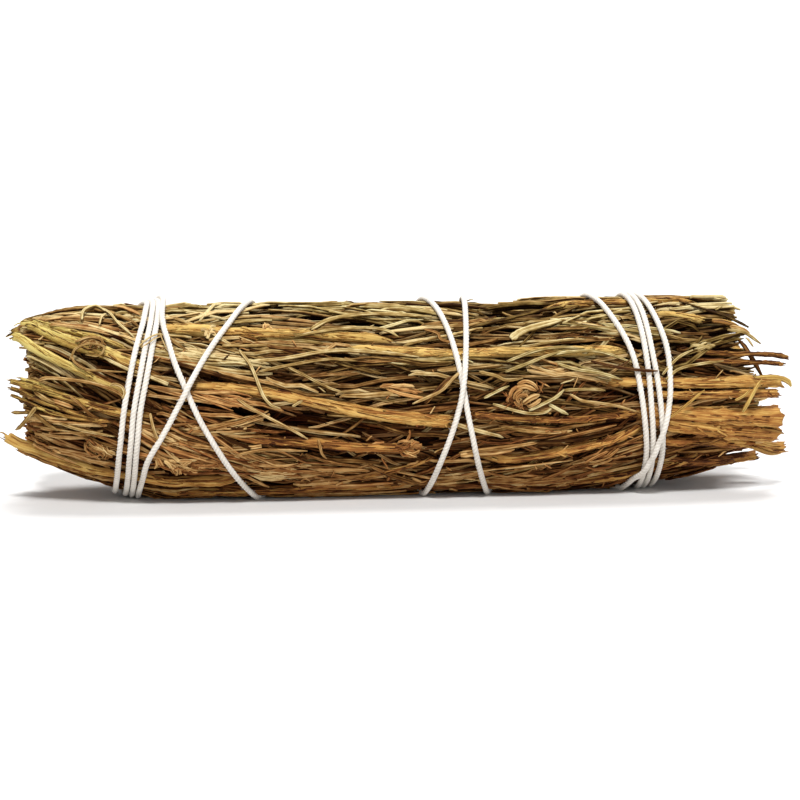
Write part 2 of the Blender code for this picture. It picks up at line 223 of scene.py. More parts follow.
# %% [markdown]
# ## Headroom under the string
#
# A tight string presses the leaves down and lets them spring up on both sides of it. A grid over
# the unrolled skin keeps, for each place, how high a leaf may stand there: hardly at all under a
# strand, and a little more with each millimetre away from it.

# %% Headroom grid
PRESSED = 0.50 * MM
FREE = 1.55 * MM
SPRING_FROM = 0.9 * MM
SPRING_SLOPE = 0.32
GRID_X = np.arange(-112, 113) * MM
GRID_TURN_STEP = 3.0
GRID_TURN = np.arange(0, 360, GRID_TURN_STEP)


def headroom_grid():
    strands = search_tree(flat_line)
    x, turn = np.meshgrid(GRID_X, GRID_TURN, indexing="ij")
    skin = on_bundle(x, turn, STRING_RAISED).reshape(-1, 3)
    away = np.array([strands.find(point)[2] for point in skin]).reshape(x.shape)
    return np.clip(PRESSED + (away - SPRING_FROM) * SPRING_SLOPE, PRESSED, FREE)


HEADROOM = headroom_grid()


def headroom(x, turn):
    """How far above the skin a leaf may stand at x and turn."""
    along = np.clip(np.rint((x - GRID_X[0]) / MM).astype(int), 0, len(GRID_X) - 1)
    around = np.rint(np.asarray(turn) % 360 / GRID_TURN_STEP).astype(int) % len(GRID_TURN)
    return HEADROOM[along, around]


print(f"{np.mean(HEADROOM < FREE):.0%} of the skin is held down by the string")

# %% [markdown]
# ## The ragged ends
#
# The bundle was trimmed roughly, so at each end the leaves stop at a different x on each side. Two
# short lists give that outline round the bundle.

# %% Where the leaves stop
# turn, x in millimetres
LEFT_END = (
    (0, -103.5), (12, -104), (24, -103), (33, -102), (46, -101.5), (62, -101), (72, -101.5),
    (80, -104), (94, -105), (103, -103.5), (112, -102.5), (126, -101.5), (137, -101.5),
    (146, -103), (155, -97), (168, -91), (185, -92), (205, -98), (222, -102.5),
    (245, -102.5), (268, -102), (290, -100.5), (308, -101), (330, -102.5), (360, -103.5),
)
RIGHT_END = (
    (0, 94.5), (20, 94.8), (30, 94), (40, 94.5), (47, 96.5), (56, 97.2), (62, 98.5), (68, 101),
    (76, 101), (90, 102), (98, 99), (103, 99), (110, 102), (130, 102), (140, 97), (150, 92),
    (180, 92), (205, 97), (227, 102), (245, 100), (262, 99), (278, 101), (300, 96.5), (325, 94),
    (360, 94.5),
)


def end_of_leaves(table, turn):
    turns, ends = np.array(table, float).T
    return np.interp(turn % 360, turns, ends) * MM


for title, table in (("left", LEFT_END), ("right", RIGHT_END)):
    stops = [stop for turn, stop in table]
    print(f"on the {title} the leaves stop between {min(stops)} and {max(stops)} mm")

# %% [markdown]
# ## One dried leaf
#
# A dried leaf is a stiff, narrow blade. Its edges have rolled under, so from above it is rounded
# with a groove down the middle, and it narrows to a blunt tip. It could be a curve with a bevel,
# but the groove and the tip are what make it read as a leaf, so it is modelled: a circle of six
# points is pressed into the leaf's cross-section, and its cap is extruded from station to station
# along the leaf. Thousands of copies are made, so it has only a few dozen faces. The stems are
# extruded in the same way further on, with more rings.
#
# Each template is 1 long, 1 wide and 1 thick. A whole leaf ends in a tip, and a broken one ends
# square. Leaves that lie deep, splinters and crumbs have no groove, and a fibre of cotton is only
# a three-sided hair.

# %% Extruding through rings
def points_and_triangles(shape):
    """The points of a bmesh, and its faces cut up into triangles of point numbers."""
    bmesh.ops.triangulate(shape, faces=shape.faces)
    shape.verts.index_update()
    points = np.array([vert.co for vert in shape.verts])
    return points, np.array([[vert.index for vert in face.verts] for face in shape.faces])


def extruded(rings, domed):
    """A closed body through rings of points, with the ring and the spot on it of each vertex.

    A domed body has a point in the middle of each end, so that a torn end can be uneven.
    """
    body = bmesh.new()
    bmesh.ops.create_circle(body, cap_ends=True, segments=len(rings[0]), radius=MM)
    cap = next(iter(body.faces))
    place_of = {}
    for number, ring in enumerate(rings):
        if number:
            grown = bmesh.ops.extrude_face_region(body, geom=[cap])["geom"]
            if number > 1:
                body.faces.remove(cap)
            cap = next(item for item in grown if isinstance(item, bmesh.types.BMFace))
        for spot, (vert, point) in enumerate(zip(cap.verts, ring)):
            vert.co = point
            place_of[vert] = number, spot
    bmesh.ops.recalc_face_normals(body, faces=body.faces)
    for number in (0, len(rings) - 1) if domed else ():
        end = next(face for face in body.faces
                   if len(face.verts) == len(rings[0]) and place_of[face.verts[0]][0] == number)
        middle = bmesh.ops.poke(body, faces=[end])["verts"][0]
        place_of[middle] = number, 0
    points, triangles = points_and_triangles(body)
    ring, spot = np.array([place_of[vert] for vert in body.verts]).T
    body.free()
    return points, triangles, ring, spot


# %% Leaf templates
# Across, up and crease at each point of a cross-section, from the left edge over the top. Crease
# is 0 on a crest that the light reaches and 1 where two leaves touch or an edge turns under; the
# materials paint shade by it.
Section = namedtuple("Section", "across up crease")
LEAF_SECTION = Section(
    (-0.50, -0.27, 0.0, 0.27, 0.50, 0.0),
    (-0.16, 0.42, 0.16, 0.42, -0.16, -0.42),
    (1.0, 0.0, 0.7, 0.0, 1.0, 1.0),
)
PLAIN_SECTION = Section((-0.50, 0.0, 0.50, 0.0), (-0.08, 0.44, -0.08, -0.40), (1.0, 0.0, 1.0, 1.0))
HAIR_SECTION = Section((-0.43, 0.0, 0.43), (-0.25, 0.5, -0.25), (0.0, 0.0, 0.0))
# The painted edge shade is weaker on the end rings of a leaf.
END_CREASE = 0.35
Template = namedtuple("Template", "stations across along up crease ring triangles")


def leaf_template(section, stations, widths):
    """A leaf lying along +Y, through a ring of the cross-section's points at each station."""
    across, up, crease = np.array(section)
    widths = np.array(widths)[:, None]
    along = np.broadcast_to(np.array(stations)[:, None], (len(stations), len(across)))
    rings = np.stack((across * widths, along, up * (0.35 + 0.65 * widths)), axis=-1)
    points, triangles, ring, spot = extruded(rings, domed=False)
    fade = np.where((ring == 0) | (ring == ring.max()), END_CREASE, 1.0)
    return Template(np.array(stations), *points.T, crease[spot] * fade, ring, triangles)


LEAF_STATIONS = (0.0, 0.10, 0.36, 0.66, 0.92, 1.0)
WHOLE_LEAF = leaf_template(LEAF_SECTION, LEAF_STATIONS, (0.45, 0.86, 1.0, 1.0, 0.76, 0.28))
BROKEN_LEAF = leaf_template(LEAF_SECTION, LEAF_STATIONS, (0.45, 0.88, 1.0, 1.0, 0.97, 0.90))
PLAIN_LEAF = leaf_template(PLAIN_SECTION, (0.0, 0.30, 0.75, 1.0), (0.50, 1.0, 0.95, 0.40))
HAIR = leaf_template(HAIR_SECTION, (0.0, 0.5, 1.0), (1.0, 1.0, 0.6))
for title, template in (("leaf", WHOLE_LEAF), ("plain leaf", PLAIN_LEAF), ("hair", HAIR)):
    print(f"a {title} has {len(template.triangles)} triangles")

# %% [markdown]
# ## Bending leaves along the bundle
#
# Each leaf follows a gentle curve through three places on the bundle: where it leaves the stem,
# its middle and its tip. Whole arrays of leaves are bent at once: the curve gives a line, the line
# gives a frame at each station, and the template's points are laid out in those frames. A leaf
# rolls to one side and twists as it dried, so its groove wanders. Its height is held under the
# headroom.

# %% Batches of leaves
Leaves = namedtuple("Leaves", "start middle end width thick roll twist wave tint warmth broken")
Part = namedtuple("Part", "points triangles tint warmth depth crease streak look")
LEAF, BARK, PAINTED_SHADE_LITTER, COTTON = range(4)
# Deeper than this below the tops of the leaves, everything is painted dark as shade.
PAINTED_SHADE_DEPTH = 3.2 * MM
PAINTED_SHADE_FROM = 0.5 * MM
OPEN_END = 18.0 * MM
CRINKLE = 0.14 * MM


def only(batch, chosen):
    """The chosen leaves of a batch."""
    return Leaves(*(field[chosen] for field in batch))


def placed(x, turn, raised):
    """Places on the bundle, as one row of three numbers each."""
    return np.stack((x, turn, raised), axis=-1)


def on_curves(batch, shares):
    """The places at these shares of the way along each leaf's curve, a row of leaves for each."""
    share = np.reshape(shares, (-1, 1, 1))
    return (1 - share) ** 2 * batch.start + 2 * share * (1 - share) * batch.middle + share**2 * batch.end


def unit(vectors):
    return vectors / np.maximum(np.linalg.norm(vectors, axis=-1, keepdims=True), 1e-12)


# %% How deep a place is, and how a leaf faces
def painted_shade_amount(x, turn, raised):
    """Painted shade: 0 on the outermost leaves and 1 where a place is deep inside, away from skin and ends.
    """
    under_skin = (PAINTED_SHADE_FROM - raised) / PAINTED_SHADE_DEPTH
    from_left = (x - end_of_leaves(LEFT_END, turn)) / OPEN_END
    from_right = (end_of_leaves(RIGHT_END, turn) - x) / OPEN_END
    inside = np.minimum(np.minimum(from_left, from_right), under_skin)
    return np.clip(inside, 0, 1)


def frames(line, out):
    """Across and up at each point of a line that lies along a skin facing out."""
    tangent = unit(np.gradient(line, axis=-2))
    side = unit(np.cross(tangent, out))
    return side, np.cross(side, tangent)


def laid_out(template, line, side, up, width, thick):
    """Copies of a template, each along its own line: their points, triangles and lengths."""
    ring = template.ring
    across = (template.across * width[:, None])[..., None]
    height = (template.up * thick[:, None])[..., None]
    points = line[:, ring] + side[:, ring] * across + up[:, ring] * height
    points[..., 2] = np.maximum(points[..., 2], FLOOR_CLEARANCE)
    triangles = template.triangles + len(ring) * np.arange(len(width))[:, None, None]
    length = np.linalg.norm(np.diff(line, axis=1), axis=2).sum(1)
    return points, triangles, length


# %% Bending a batch of leaves
def bent(template, batch, look=LEAF):
    """The mesh data of a batch of leaves, all made from one template."""
    x, turn, raised = on_curves(batch, template.stations).transpose(2, 1, 0)
    # A leaf that dried unevenly snakes a little to one side and back, and crinkles.
    number = np.arange(len(batch.width))[:, None]
    snake = batch.wave[:, None] * np.sin(template.stations * 2.0 * np.pi)
    snake = snake + CRINKLE * np.sin(template.stations * 23 + 2.4 * number)
    turn = turn + snake * DEGREES_PER_METRE
    raised = raised + CRINKLE * np.cos(template.stations * 31 + 1.7 * number)
    raised = np.minimum(raised, headroom(x, turn) - 0.45 * batch.thick[:, None])
    line = on_bundle(x, turn, raised)
    side, up = frames(line, outward(x, turn))
    roll = (batch.roll[:, None] + batch.twist[:, None] * template.stations)[..., None]
    side, up = side * np.cos(roll) + up * np.sin(roll), up * np.cos(roll) - side * np.sin(roll)
    points, triangles, length = laid_out(template, line, side, up, batch.width, batch.thick)
    ring = template.ring
    count, size = len(batch.width), len(ring)
    across = template.across * batch.width[:, None]
    along = np.broadcast_to(template.along, (count, size)) * length[:, None]
    streak = np.stack((across, along, np.broadcast_to(number * 0.013, (count, size))), axis=-1)
    height = template.up * batch.thick[:, None]
    # The depth carries painted shade: leaves deep in the bundle are coloured darker.
    depth = painted_shade_amount(x[:, ring], turn[:, ring], raised[:, ring] + height)
    return Part(points.reshape(-1, 3), triangles.reshape(-1, 3), np.repeat(batch.tint, size),
                np.repeat(batch.warmth, size), depth.reshape(-1), np.tile(template.crease, count),
                streak.reshape(-1, 3), look)


def bent_leaves(batch):
    """Whole and broken leaves, each from their own template."""
    return [bent(WHOLE_LEAF, only(batch, ~batch.broken)), bent(BROKEN_LEAF, only(batch, batch.broken))]


# Painted shade between the leaves is darkest this far under the skin.
print(f"the dust is darkest {(PAINTED_SHADE_DEPTH - PAINTED_SHADE_FROM) / MM:.1f} mm under the skin")


# %% [markdown]
# ## The sprigs
#
# Nineteen sprigs lie round the outside. Some have their cut stem at the left end and some at the
# right, and each runs along its own course: the turn of its middle at eight places along the
# bundle. A leaf follows its sprig's course, so the whole surface flows the way the sprigs lie.

# %% Sprigs and their courses
COURSE_X = np.array((-110, -90, -70, -40, 0, 40, 75, 110), float) * MM
Sprig = namedtuple("Sprig", "name stem_end tip radius course")
SPRIGS = (
    Sprig("top_2", -106, 99, 1.1, (-34, -26, -20, -18, -22, -24, -28, -30)),
    Sprig("top_3", 103, -103, 1.2, (-20, -6, 10, 14, 14, 12, 4, 4)),
    Sprig("front_1", -105, 99, 1.3, (-14, 18, 34, 41, 46, 40, 30, 32)),
    Sprig("front_2", 104, -99, 1.3, (-9, 30, 44, 50, 56, 58, 56, 56)),
    Sprig("front_3", 106.5, -98, 1.3, (-6, 38, 54, 62, 70, 75, 82, 84)),
    Sprig("front_4", 105.5, -97, 1.3, (-3, 44, 59, 70, 86, 98, 92, 94)),
    Sprig("front_5", -104.5, 80, 1.4, (1, 50, 64, 79, 96, 103, 96, 98)),
    Sprig("front_6", -107, 79, 1.3, (18, 66, 88, 108, 115, 110, 99, 101)),
    Sprig("front_7", -108.5, 80, 1.3, (76, 88, 100, 118, 123, 116, 102, 104)),
    Sprig("front_8", 109.2, -102, 3.9, (100, 106, 116, 128, 131, 122, 109, 117)),
    Sprig("under_1", -110, 86, 1.5, (139, 136, 137, 142, 141, 134, 124, 128)),
    Sprig("under_2", 102, -101, 1.3, (156, 155, 155, 156, 152, 148, 138, 140)),
    Sprig("under_3", -105, 97, 1.2, (176, 175, 174, 173, 170, 166, 158, 158)),
    Sprig("under_4", 104, -102, 1.3, (198, 196, 194, 192, 189, 186, 182, 180)),
    Sprig("back_1", -107, 97, 1.3, (222, 219, 216, 213, 209, 206, 205, 203)),
    Sprig("back_2", 107, -101, 1.5, (246, 243, 239, 235, 230, 229, 228, 227)),
    Sprig("back_3", -106, 98, 1.3, (268, 266, 262, 258, 253, 252, 252, 252)),
    Sprig("back_4", 105, -103, 1.3, (290, 290, 286, 281, 278, 278, 278, 278)),
    Sprig("top_1", -108, 99, 1.4, (308, 312, 312, 308, 304, 304, 304, 302)),
)
COURSES = {sprig.name: np.unwrap(np.array(sprig.course, float), period=360) for sprig in SPRIGS}


def course_turn(name, x):
    return np.interp(x, COURSE_X, COURSES[name])


def half_cell(index, x):
    """Half the width of a sprig's share of the skin at x, in degrees."""
    before, after = SPRIGS[index - 1].name, SPRIGS[(index + 1) % len(SPRIGS)].name
    return (course_turn(after, x) - course_turn(before, x)) % 360 / 4


for sprig in SPRIGS[:3]:
    print(sprig.name, "stem at", sprig.stem_end, "mm, tip at", sprig.tip, "mm")

# %% [markdown]
# ## The stems that show
#
# Here and there a woody stem comes to the surface between the leaves: pale yellow where its bark
# has worn off, golden or orange-brown elsewhere, split lengthways and torn at its ends. These are
# set one by one, because they are landmarks of this bundle. Each row names its sprig, its tone (0
# for pale yellow, 1 for dark red-brown), its radius at both ends, and the places it runs through.

# %% Stems on the surface
Stem = namedtuple("Stem", "sprig tone radii torn places")
STEMS = tuple(Stem(*row) for row in (
    # the left end: a two-toned stem, a pale one, a splayed one and a thick golden one
    ("front_5", 0.04, (1.15, 1.05), (1, 0),
     ((-103.6, 9), (-101.5, 14), (-99, 27), (-94, 38.5), (-89, 45.5), (-83, 50), (-77, 57), (-68, 63))),
    ("front_5", 0.42, (0.95, 0.90), (1, 0),
     ((-102.0, 14.5), (-100.5, 22.5), (-98.5, 32.5), (-94, 43.5), (-89, 50.5), (-83, 54.5),
      (-76.5, 61), (-66, 67))),
    ("front_4", 0.22, (0.60, 0.60), (1, 0),
     ((-103, -5), (-99, 17), (-94, 30), (-88, 39), (-80, 45), (-74, 50))),
    ("front_6", 0.14, (1.15, 1.10), (1, 0),
     ((-106, 26), (-102.5, 43), (-99, 53), (-94, 61.5), (-88, 69), (-83.5, 75), (-75, 80))),
    ("front_7", 0.48, (0.75, 1.35), (1, 0),
     ((-107.2, 78), (-104, 81), (-99.5, 83.5), (-92.5, 88), (-86, 91), (-79, 92), (-70, 94))),
    ("front_7", 0.30, (0.55, 0.55), (1, 0), ((-104.5, 75.5), (-101.5, 78.5), (-98, 82), (-93, 86))),
    ("front_7", 0.60, (0.55, 0.60), (1, 0),
     ((-106.8, 85), (-103, 89), (-99.5, 93.5), (-91.5, 98), (-86, 100), (-78, 99))),
    ("front_7", 0.55, (0.50, 0.60), (1, 0),
     ((-106.5, 91.5), (-102.5, 97), (-97, 101), (-90, 102), (-78, 99))),
    ("under_1", 0.34, (1.50, 1.40), (1, 0),
     ((-108.5, 153.5), (-102.5, 150), (-95.5, 148), (-89, 146.5), (-83.5, 145), (-80, 143), (-71, 139),
      (-60, 137), (-45, 137))),
    ("under_1", 0.60, (0.70, 0.80), (1, 0), ((-105, 164), (-99, 160), (-90, 156), (-80, 152))),
    ("under_1", 0.95, (0.60, 0.50), (0, 0), ((-92, 164), (-80, 153))),
    # the long stems along the front
    ("front_1", 0.12, (1.70, 1.10), (1, 0), ((-66, 32), (-45, 37), (-37, 38), (-24, 40), (-3, 44))),
    ("front_1", 0.34, (0.60, 0.70), (1, 0), ((-72, 21), (-66.5, 30.5), (-56, 35), (-46, 38.5), (-38, 42))),
    ("front_2", -0.10, (1.15, 1.30), (0, 0), ((-18, 49), (-3, 53), (12.5, 55), (25, 55), (40, 55), (62, 56))),
    ("front_5", 0.26, (1.20, 1.75), (0, 1),
     ((-60, 72), (-45, 75), (-34, 79), (-24, 84), (-16, 88), (-6, 92), (11, 96))),
    ("front_6", 0.60, (1.20, 1.30), (0, 1), ((-52, 100), (-40.5, 105), (-28, 107), (-14, 111), (-1, 112))),
    ("under_2", 0.55, (1.20, 1.10), (0, 0), ((-70, 152), (-40, 149), (-28, 146), (-15, 145), (4, 143))),
    ("front_4", 0.55, (0.80, 0.90), (1, 0), ((18, 92), (30, 95), (46, 97), (65, 95))),
    ("front_8", 0.36, (1.10, 1.30), (0, 0), ((20, 121), (32, 121), (45, 116), (54, 113), (65, 106))),
    ("front_7", 0.50, (0.60, 0.60), (0, 0), ((-21, 136), (-8.5, 132), (-4.5, 128), (8, 121))),
    # the right end: two stems above the notch, and below it the thick one, split down its middle
    ("front_3", 0.30, (1.20, 1.60), (0, 1), ((54, 75), (64, 76.5), (74, 79.5), (90, 82.5), (104.5, 83.5))),
    ("front_4", 0.42, (0.95, 1.30), (0, 1), ((66, 84), (73, 87), (87, 90), (103.5, 92.5))),
    ("front_8", 0.42, (1.70, 2.90), (0, 1), ((62, 95), (72, 97.5), (81, 102), (93, 108), (105, 112.5))),
    ("front_8", 0.50, (1.70, 2.70), (0, 1), ((64, 101), (72, 105), (82, 111.5), (93, 120.5), (104.8, 128))),
    ("front_8", 0.38, (0.90, 1.50), (0, 1), ((84, 122), (93, 130), (101, 138), (106.5, 148), (109.3, 154))),
    ("front_8", 0.62, (0.60, 0.70), (0, 1), ((70, 102), (80, 106.5), (92, 114), (103, 120))),
    ("under_1", 0.62, (1.30, 1.20), (0, 1), ((66, 112), (73, 119), (82, 122), (92, 131), (99, 135))),
    ("under_1", 0.85, (0.80, 0.70), (0, 1), ((68, 128), (80, 139), (90, 147), (98, 150))),
    ("under_1", 0.86, (0.95, 0.80), (0, 1), ((70, 138), (80, 143), (94.5, 157))),
    ("front_2", 0.62, (0.55, 0.65), (0, 1), ((76, 55), (82, 60.5), (93, 64), (107, 63))),
    ("front_3", 0.66, (0.45, 0.50), (0, 1), ((74, 63), (82, 66.5), (94, 69.5), (106, 70))),
    ("front_1", 0.14, (1.10, 1.00), (0, 1), ((70, 22), (76, 28), (84, 35))),
    # stems on the top, the back and underneath
    ("top_1", 0.45, (1.30, 0.90), (1, 0), ((-101.5, 308), (-95, 311), (-75, 312), (-52, 310))),
    ("top_2", 0.60, (1.00, 0.80), (1, 0), ((-106, -33), (-95, -28), (-80, -22))),
    ("top_3", 0.40, (1.20, 0.90), (0, 0), ((40, 12), (62, 9), (75, 7), (88, 6))),
    ("back_4", 0.35, (0.90, 1.40), (0, 1), ((18, 279), (45, 277), (75, 279), (105, 278))),
    ("back_4", 0.55, (1.10, 1.10), (0, 0), ((-55, 286), (-35, 281), (-12, 279))),
    ("back_3", 0.30, (1.40, 1.10), (1, 0), ((-101.5, 268), (-88, 266), (-66, 262), (-40, 259), (-20, 256))),
    ("back_3", 0.60, (1.00, 1.00), (0, 0), ((15, 252), (40, 251), (66, 253))),
    ("back_2", 0.42, (1.20, 1.60), (0, 1), ((5, 231), (32, 230), (70, 228), (107, 227))),
    ("back_2", 0.25, (1.00, 1.10), (0, 0), ((-70, 240), (-48, 236), (-25, 233))),
    ("back_1", 0.50, (1.40, 1.20), (1, 0), ((-102, 221.5), (-90, 219), (-68, 216), (-45, 214))),
    ("under_3", 0.55, (1.20, 1.00), (1, 0), ((-105, 176), (-92, 175), (-78, 174))),
    ("under_4", 0.50, (1.00, 1.30), (0, 1), ((78, 182), (92, 181), (104, 180))),
    ("under_2", 0.45, (1.00, 1.30), (0, 0), ((40, 148), (62, 143), (76, 140), (84, 140))),
))
STEM_STEP = 0.9 * MM
ROUNDED_OVER = 4
SUNK = 2.4 * MM
SINK_LENGTH = 7.0 * MM


def stem_line(stem):
    """x, turn, radius and how far a stem's middle is raised, at each STEM_STEP along it."""
    places = np.array(stem.places, float)
    low, high = places[0, 0] * MM, places[-1, 0] * MM
    x = np.linspace(low, high, max(6, round((high - low) / STEM_STEP)))
    turn = smoothed(np.interp(x, places[:, 0] * MM, places[:, 1]), ROUNDED_OVER)
    radius = np.linspace(*stem.radii, len(x)) * MM
    raised = smoothed(np.minimum(-0.25 * radius, headroom(x, turn) - radius), ROUNDED_OVER)
    for torn, away in zip(stem.torn, (x - low, high - x)):
        if not torn:
            raised = raised - SUNK * np.clip(1 - away / SINK_LENGTH, 0, 1) ** 1.5
    return x, turn, radius, raised


STEM_LINES = [stem_line(stem) for stem in STEMS]


def on_a_stem(x, turn):
    """True where a place lies on a stem that shows."""
    found = np.zeros(np.shape(x), bool)
    for along, around, radius, _ in STEM_LINES:
        inside = (x > along[0] + SINK_LENGTH / 2) & (x < along[-1] - SINK_LENGTH / 3)
        gap = (turn - np.interp(x, along, around) + 180) % 360 - 180
        found |= inside & (np.abs(gap) / DEGREES_PER_METRE < np.interp(x, along, radius) * 1.15)
    return found


print(f"{len(STEMS)} stems show on the surface")

# %% [markdown]
# ## Hollows
#
# The sprigs don't fill the bundle evenly: here and there the leaves part and one looks into a dark
# hollow. Each is an oval on the skin, given by its middle, its half length along the bundle, its
# half width round it, and how far it slants down to the right. Leaves that cross one pass under it.

# %% Hollows
Hollow = namedtuple("Hollow", "x turn half_length half_width slant")
HOLLOWS = tuple(Hollow(*row) for row in (
    (22, 153, 13.0, 1.6, -5), (-10.5, 69, 10.0, 1.9, -9), (-27, 93, 8.5, 1.9, 14), (-5, 101, 7.0, 1.6, 9),
    (58, 101, 8.5, 1.3, -5), (-83.5, 84, 5.5, 1.7, 25), (0, 123, 5.5, 1.7, -16), (79.5, 124, 7.0, 1.0, -5),
    (90, 98, 7.5, 1.2, 3), (46, 162, 7.0, 1.1, -9), (-36, 68, 5.5, 1.3, -1), (25, 59, 5.5, 1.3, 4),
    (-31.5, 104, 6.0, 1.0, 5), (56, 142, 6.0, 1.0, -6), (-12.5, 30, 5.5, 1.1, 10), (-41.5, 88, 6.0, 1.0, 19),
    (92, 154, 6.0, 1.0, -8), (81, 74, 3.5, 1.2, -7), (41, 129, 5.0, 1.0, -5), (2, 87, 6.5, 1.0, -6),
    (20, 71, 3.5, 1.3, 10), (40, 111, 8.0, 0.8, -6), (48, 92, 4.0, 1.0, 0), (32.5, 23, 5.0, 0.9, -8),
    (-7, 142, 4.5, 0.9, 0), (-66, 74, 4.0, 1.0, 4), (4, 72, 4.0, 1.0, 5), (-89, 127, 2.5, 1.4, 5),
    (39.5, 79, 3.5, 1.6, 15), (-80, 30, 3.5, 1.2, 20), (-95, 121, 3.5, 1.1, 25), (33.5, 59, 2.5, 1.3, 5),
    (5.5, 40, 2.0, 1.3, -6), (88, 76, 3.0, 1.0, 5), (56, 86, 3.0, 1.0, -9), (30.5, 80.5, 7.5, 3.4, 0),
    # on the back and underneath
    (-80, 250, 6.0, 1.3, 5), (-30, 285, 8.0, 1.5, -6), (15, 262, 9.0, 1.6, 4), (60, 285, 7.0, 1.3, -8),
    (35, 225, 8.0, 1.3, 5), (-50, 225, 7.0, 1.3, 0), (85, 255, 5.0, 1.3, 6), (-5, 310, 6.0, 1.2, -5),
    (50, 318, 6.0, 1.1, 8), (-70, 330, 5.0, 1.1, 6), (-20, 345, 6.0, 1.0, -4), (20, 335, 5.0, 1.0, 5),
    (-55, 10, 5.0, 1.0, 3), (60, 5, 5.0, 1.0, -4), (0, 210, 8.0, 1.3, 0), (70, 205, 6.0, 1.2, 0),
))


def in_a_hollow(x, turn):
    """True where a place lies in a hollow."""
    found = np.zeros(np.shape(x), bool)
    for hollow in HOLLOWS:
        along = x / MM - hollow.x
        around = ((turn - hollow.turn + 180) % 360 - 180) / DEGREES_PER_METRE / MM
        slant = math.radians(hollow.slant)
        lengthways = (along * math.cos(slant) + around * math.sin(slant)) / hollow.half_length
        crossways = (around * math.cos(slant) - along * math.sin(slant)) / hollow.half_width
        found |= lengthways**2 + crossways**2 < 1
    return found


print(f"{len(HOLLOWS)} hollows between the leaves")

# %% [markdown]
# ## Trimming
#
# Leaves that would pass an end of the bundle, with their tip or with their foot, are cut off there,
# give or take a millimetre. A leaf that lost its tip counts as broken.

# %% Trimming leaves at the ends
RAGGED = 0.85 * MM
SHORTEST = 3.5 * MM


def trimmed(draw, batch):
    """The leaves, cut off where they pass the bundle's ends."""
    start, middle, end = batch.start, batch.middle, batch.end
    kept, broken, wave = np.ones(len(batch.width), bool), batch.broken, batch.wave
    for table, side in ((LEFT_END, -1.0), (RIGHT_END, 1.0)):
        foot, tip = side * start[:, 0], side * end[:, 0]
        turn = np.where(foot > tip, start[:, 1], end[:, 1])
        limit = side * end_of_leaves(table, turn) + draw.normal(0, RAGGED, len(kept))
        kept &= np.minimum(foot, tip) < limit - SHORTEST
        past = (np.maximum(foot, tip) - limit) / np.maximum(np.abs(tip - foot), MM)
        past = np.clip(past, 0, 0.9)[:, None]
        tip_off = np.where((tip > foot)[:, None], past, 0)
        foot_off = np.where((tip > foot)[:, None], 0, past)
        middle = middle + (start - middle) * tip_off + (end - middle) * foot_off
        start, end = start + (end - start) * foot_off, end + (start - end) * tip_off
        broken = broken | (tip_off[:, 0] > 0)
        wave = wave * (1 - past[:, 0])
    return only(batch._replace(start=start, middle=middle, end=end, wave=wave, broken=broken), kept)


# %% [markdown]
# ## Growing a sprig's leaves
#
# Rosemary-like leaves leave the stem in small tufts and all lean towards the tip. So leaves are
# drawn a tuft at a time: a tuft has a place, a direction, a colour and a depth, and its leaves
# vary a little from each other. Three layers of tufts cover a sprig. The deepest fills the gaps
# with plain leaves that painted shade makes dark, the middle one gives the surface its flow, and
# the top one fans out more.
# Some leaves lie across the others. Where a stem or a hollow shows, the upper two layers pass
# under it. A few crumbs of broken leaf and bark lie on top.

# %% Colour and lean over the skin
LEAF_WIDTH = 1.22 * MM
LEAF_THICKNESS = 1.0 * MM
LEAF_LENGTH = 22.5 * MM
Layer = namedtuple("Layer", "raised cover lean fan open plain")
LAYERS = (
    Layer(-2.5, 1.30, 4.0, 3.0, False, True),
    Layer(-1.1, 1.40, 6.0, 3.5, True, False),
    Layer(0.2, 1.45, 7.5, 5.5, True, False),
)
PER_TUFT = 5
CROSSING = 0.13
CROSSING_FAN = 22.0
STEM_END_LEAVES = 13 * MM
TIP_GAP = 4 * MM
UNDER_STEMS = 1.8 * MM
UNDER_HOLLOWS = 2.6 * MM
CURLED = 0.22
BROKEN = 0.18
# Painted light: leaves are coloured paler on top, most of all at the top left, and underneath, where the
# floor throws light back.
TOP_PAINTED_LIGHT = 0.09
TOP_LEFT_PAINTED_LIGHT = 0.16
UNDER_PAINTED_BOUNCE_LIGHT = 0.10
CRUMBS = 13
PATCHES = ((61.0, 0.031, 0.4), (43.0, -0.052, 2.1), (97.0, 0.023, 4.0), (29.0, 0.085, 5.2))
PATCH_LEAN = 4.5


def patch_lean(x, turn):
    """Neighbouring tufts lean the same way: a slow wander over the skin, in degrees."""
    return PATCH_LEAN * sum(np.sin(along * x + around * turn + phase) for along, around, phase in PATCHES)


def warmth_at(x, turn):
    """0 where leaves stayed olive, on top, and 1 where they went orange-brown, below."""
    height = np.cos(np.radians(turn))
    rightward = np.clip(x / 0.11, -1, 1)
    return 0.56 - 0.42 * height - 0.10 * rightward * np.clip(height + 0.4, 0, 1)


def painted_light_at(x, turn):
    """Painted light: how much paler leaves are on top, above all to the left, and underneath."""
    height = np.cos(np.radians(turn))
    leftward = np.clip(0.4 - x / 0.09, 0, 1) * np.clip(2 * height - 1, 0, 1)
    return np.interp(height, (-1, 0, 1), (UNDER_PAINTED_BOUNCE_LIGHT, 0, TOP_PAINTED_LIGHT)) + TOP_LEFT_PAINTED_LIGHT * leftward


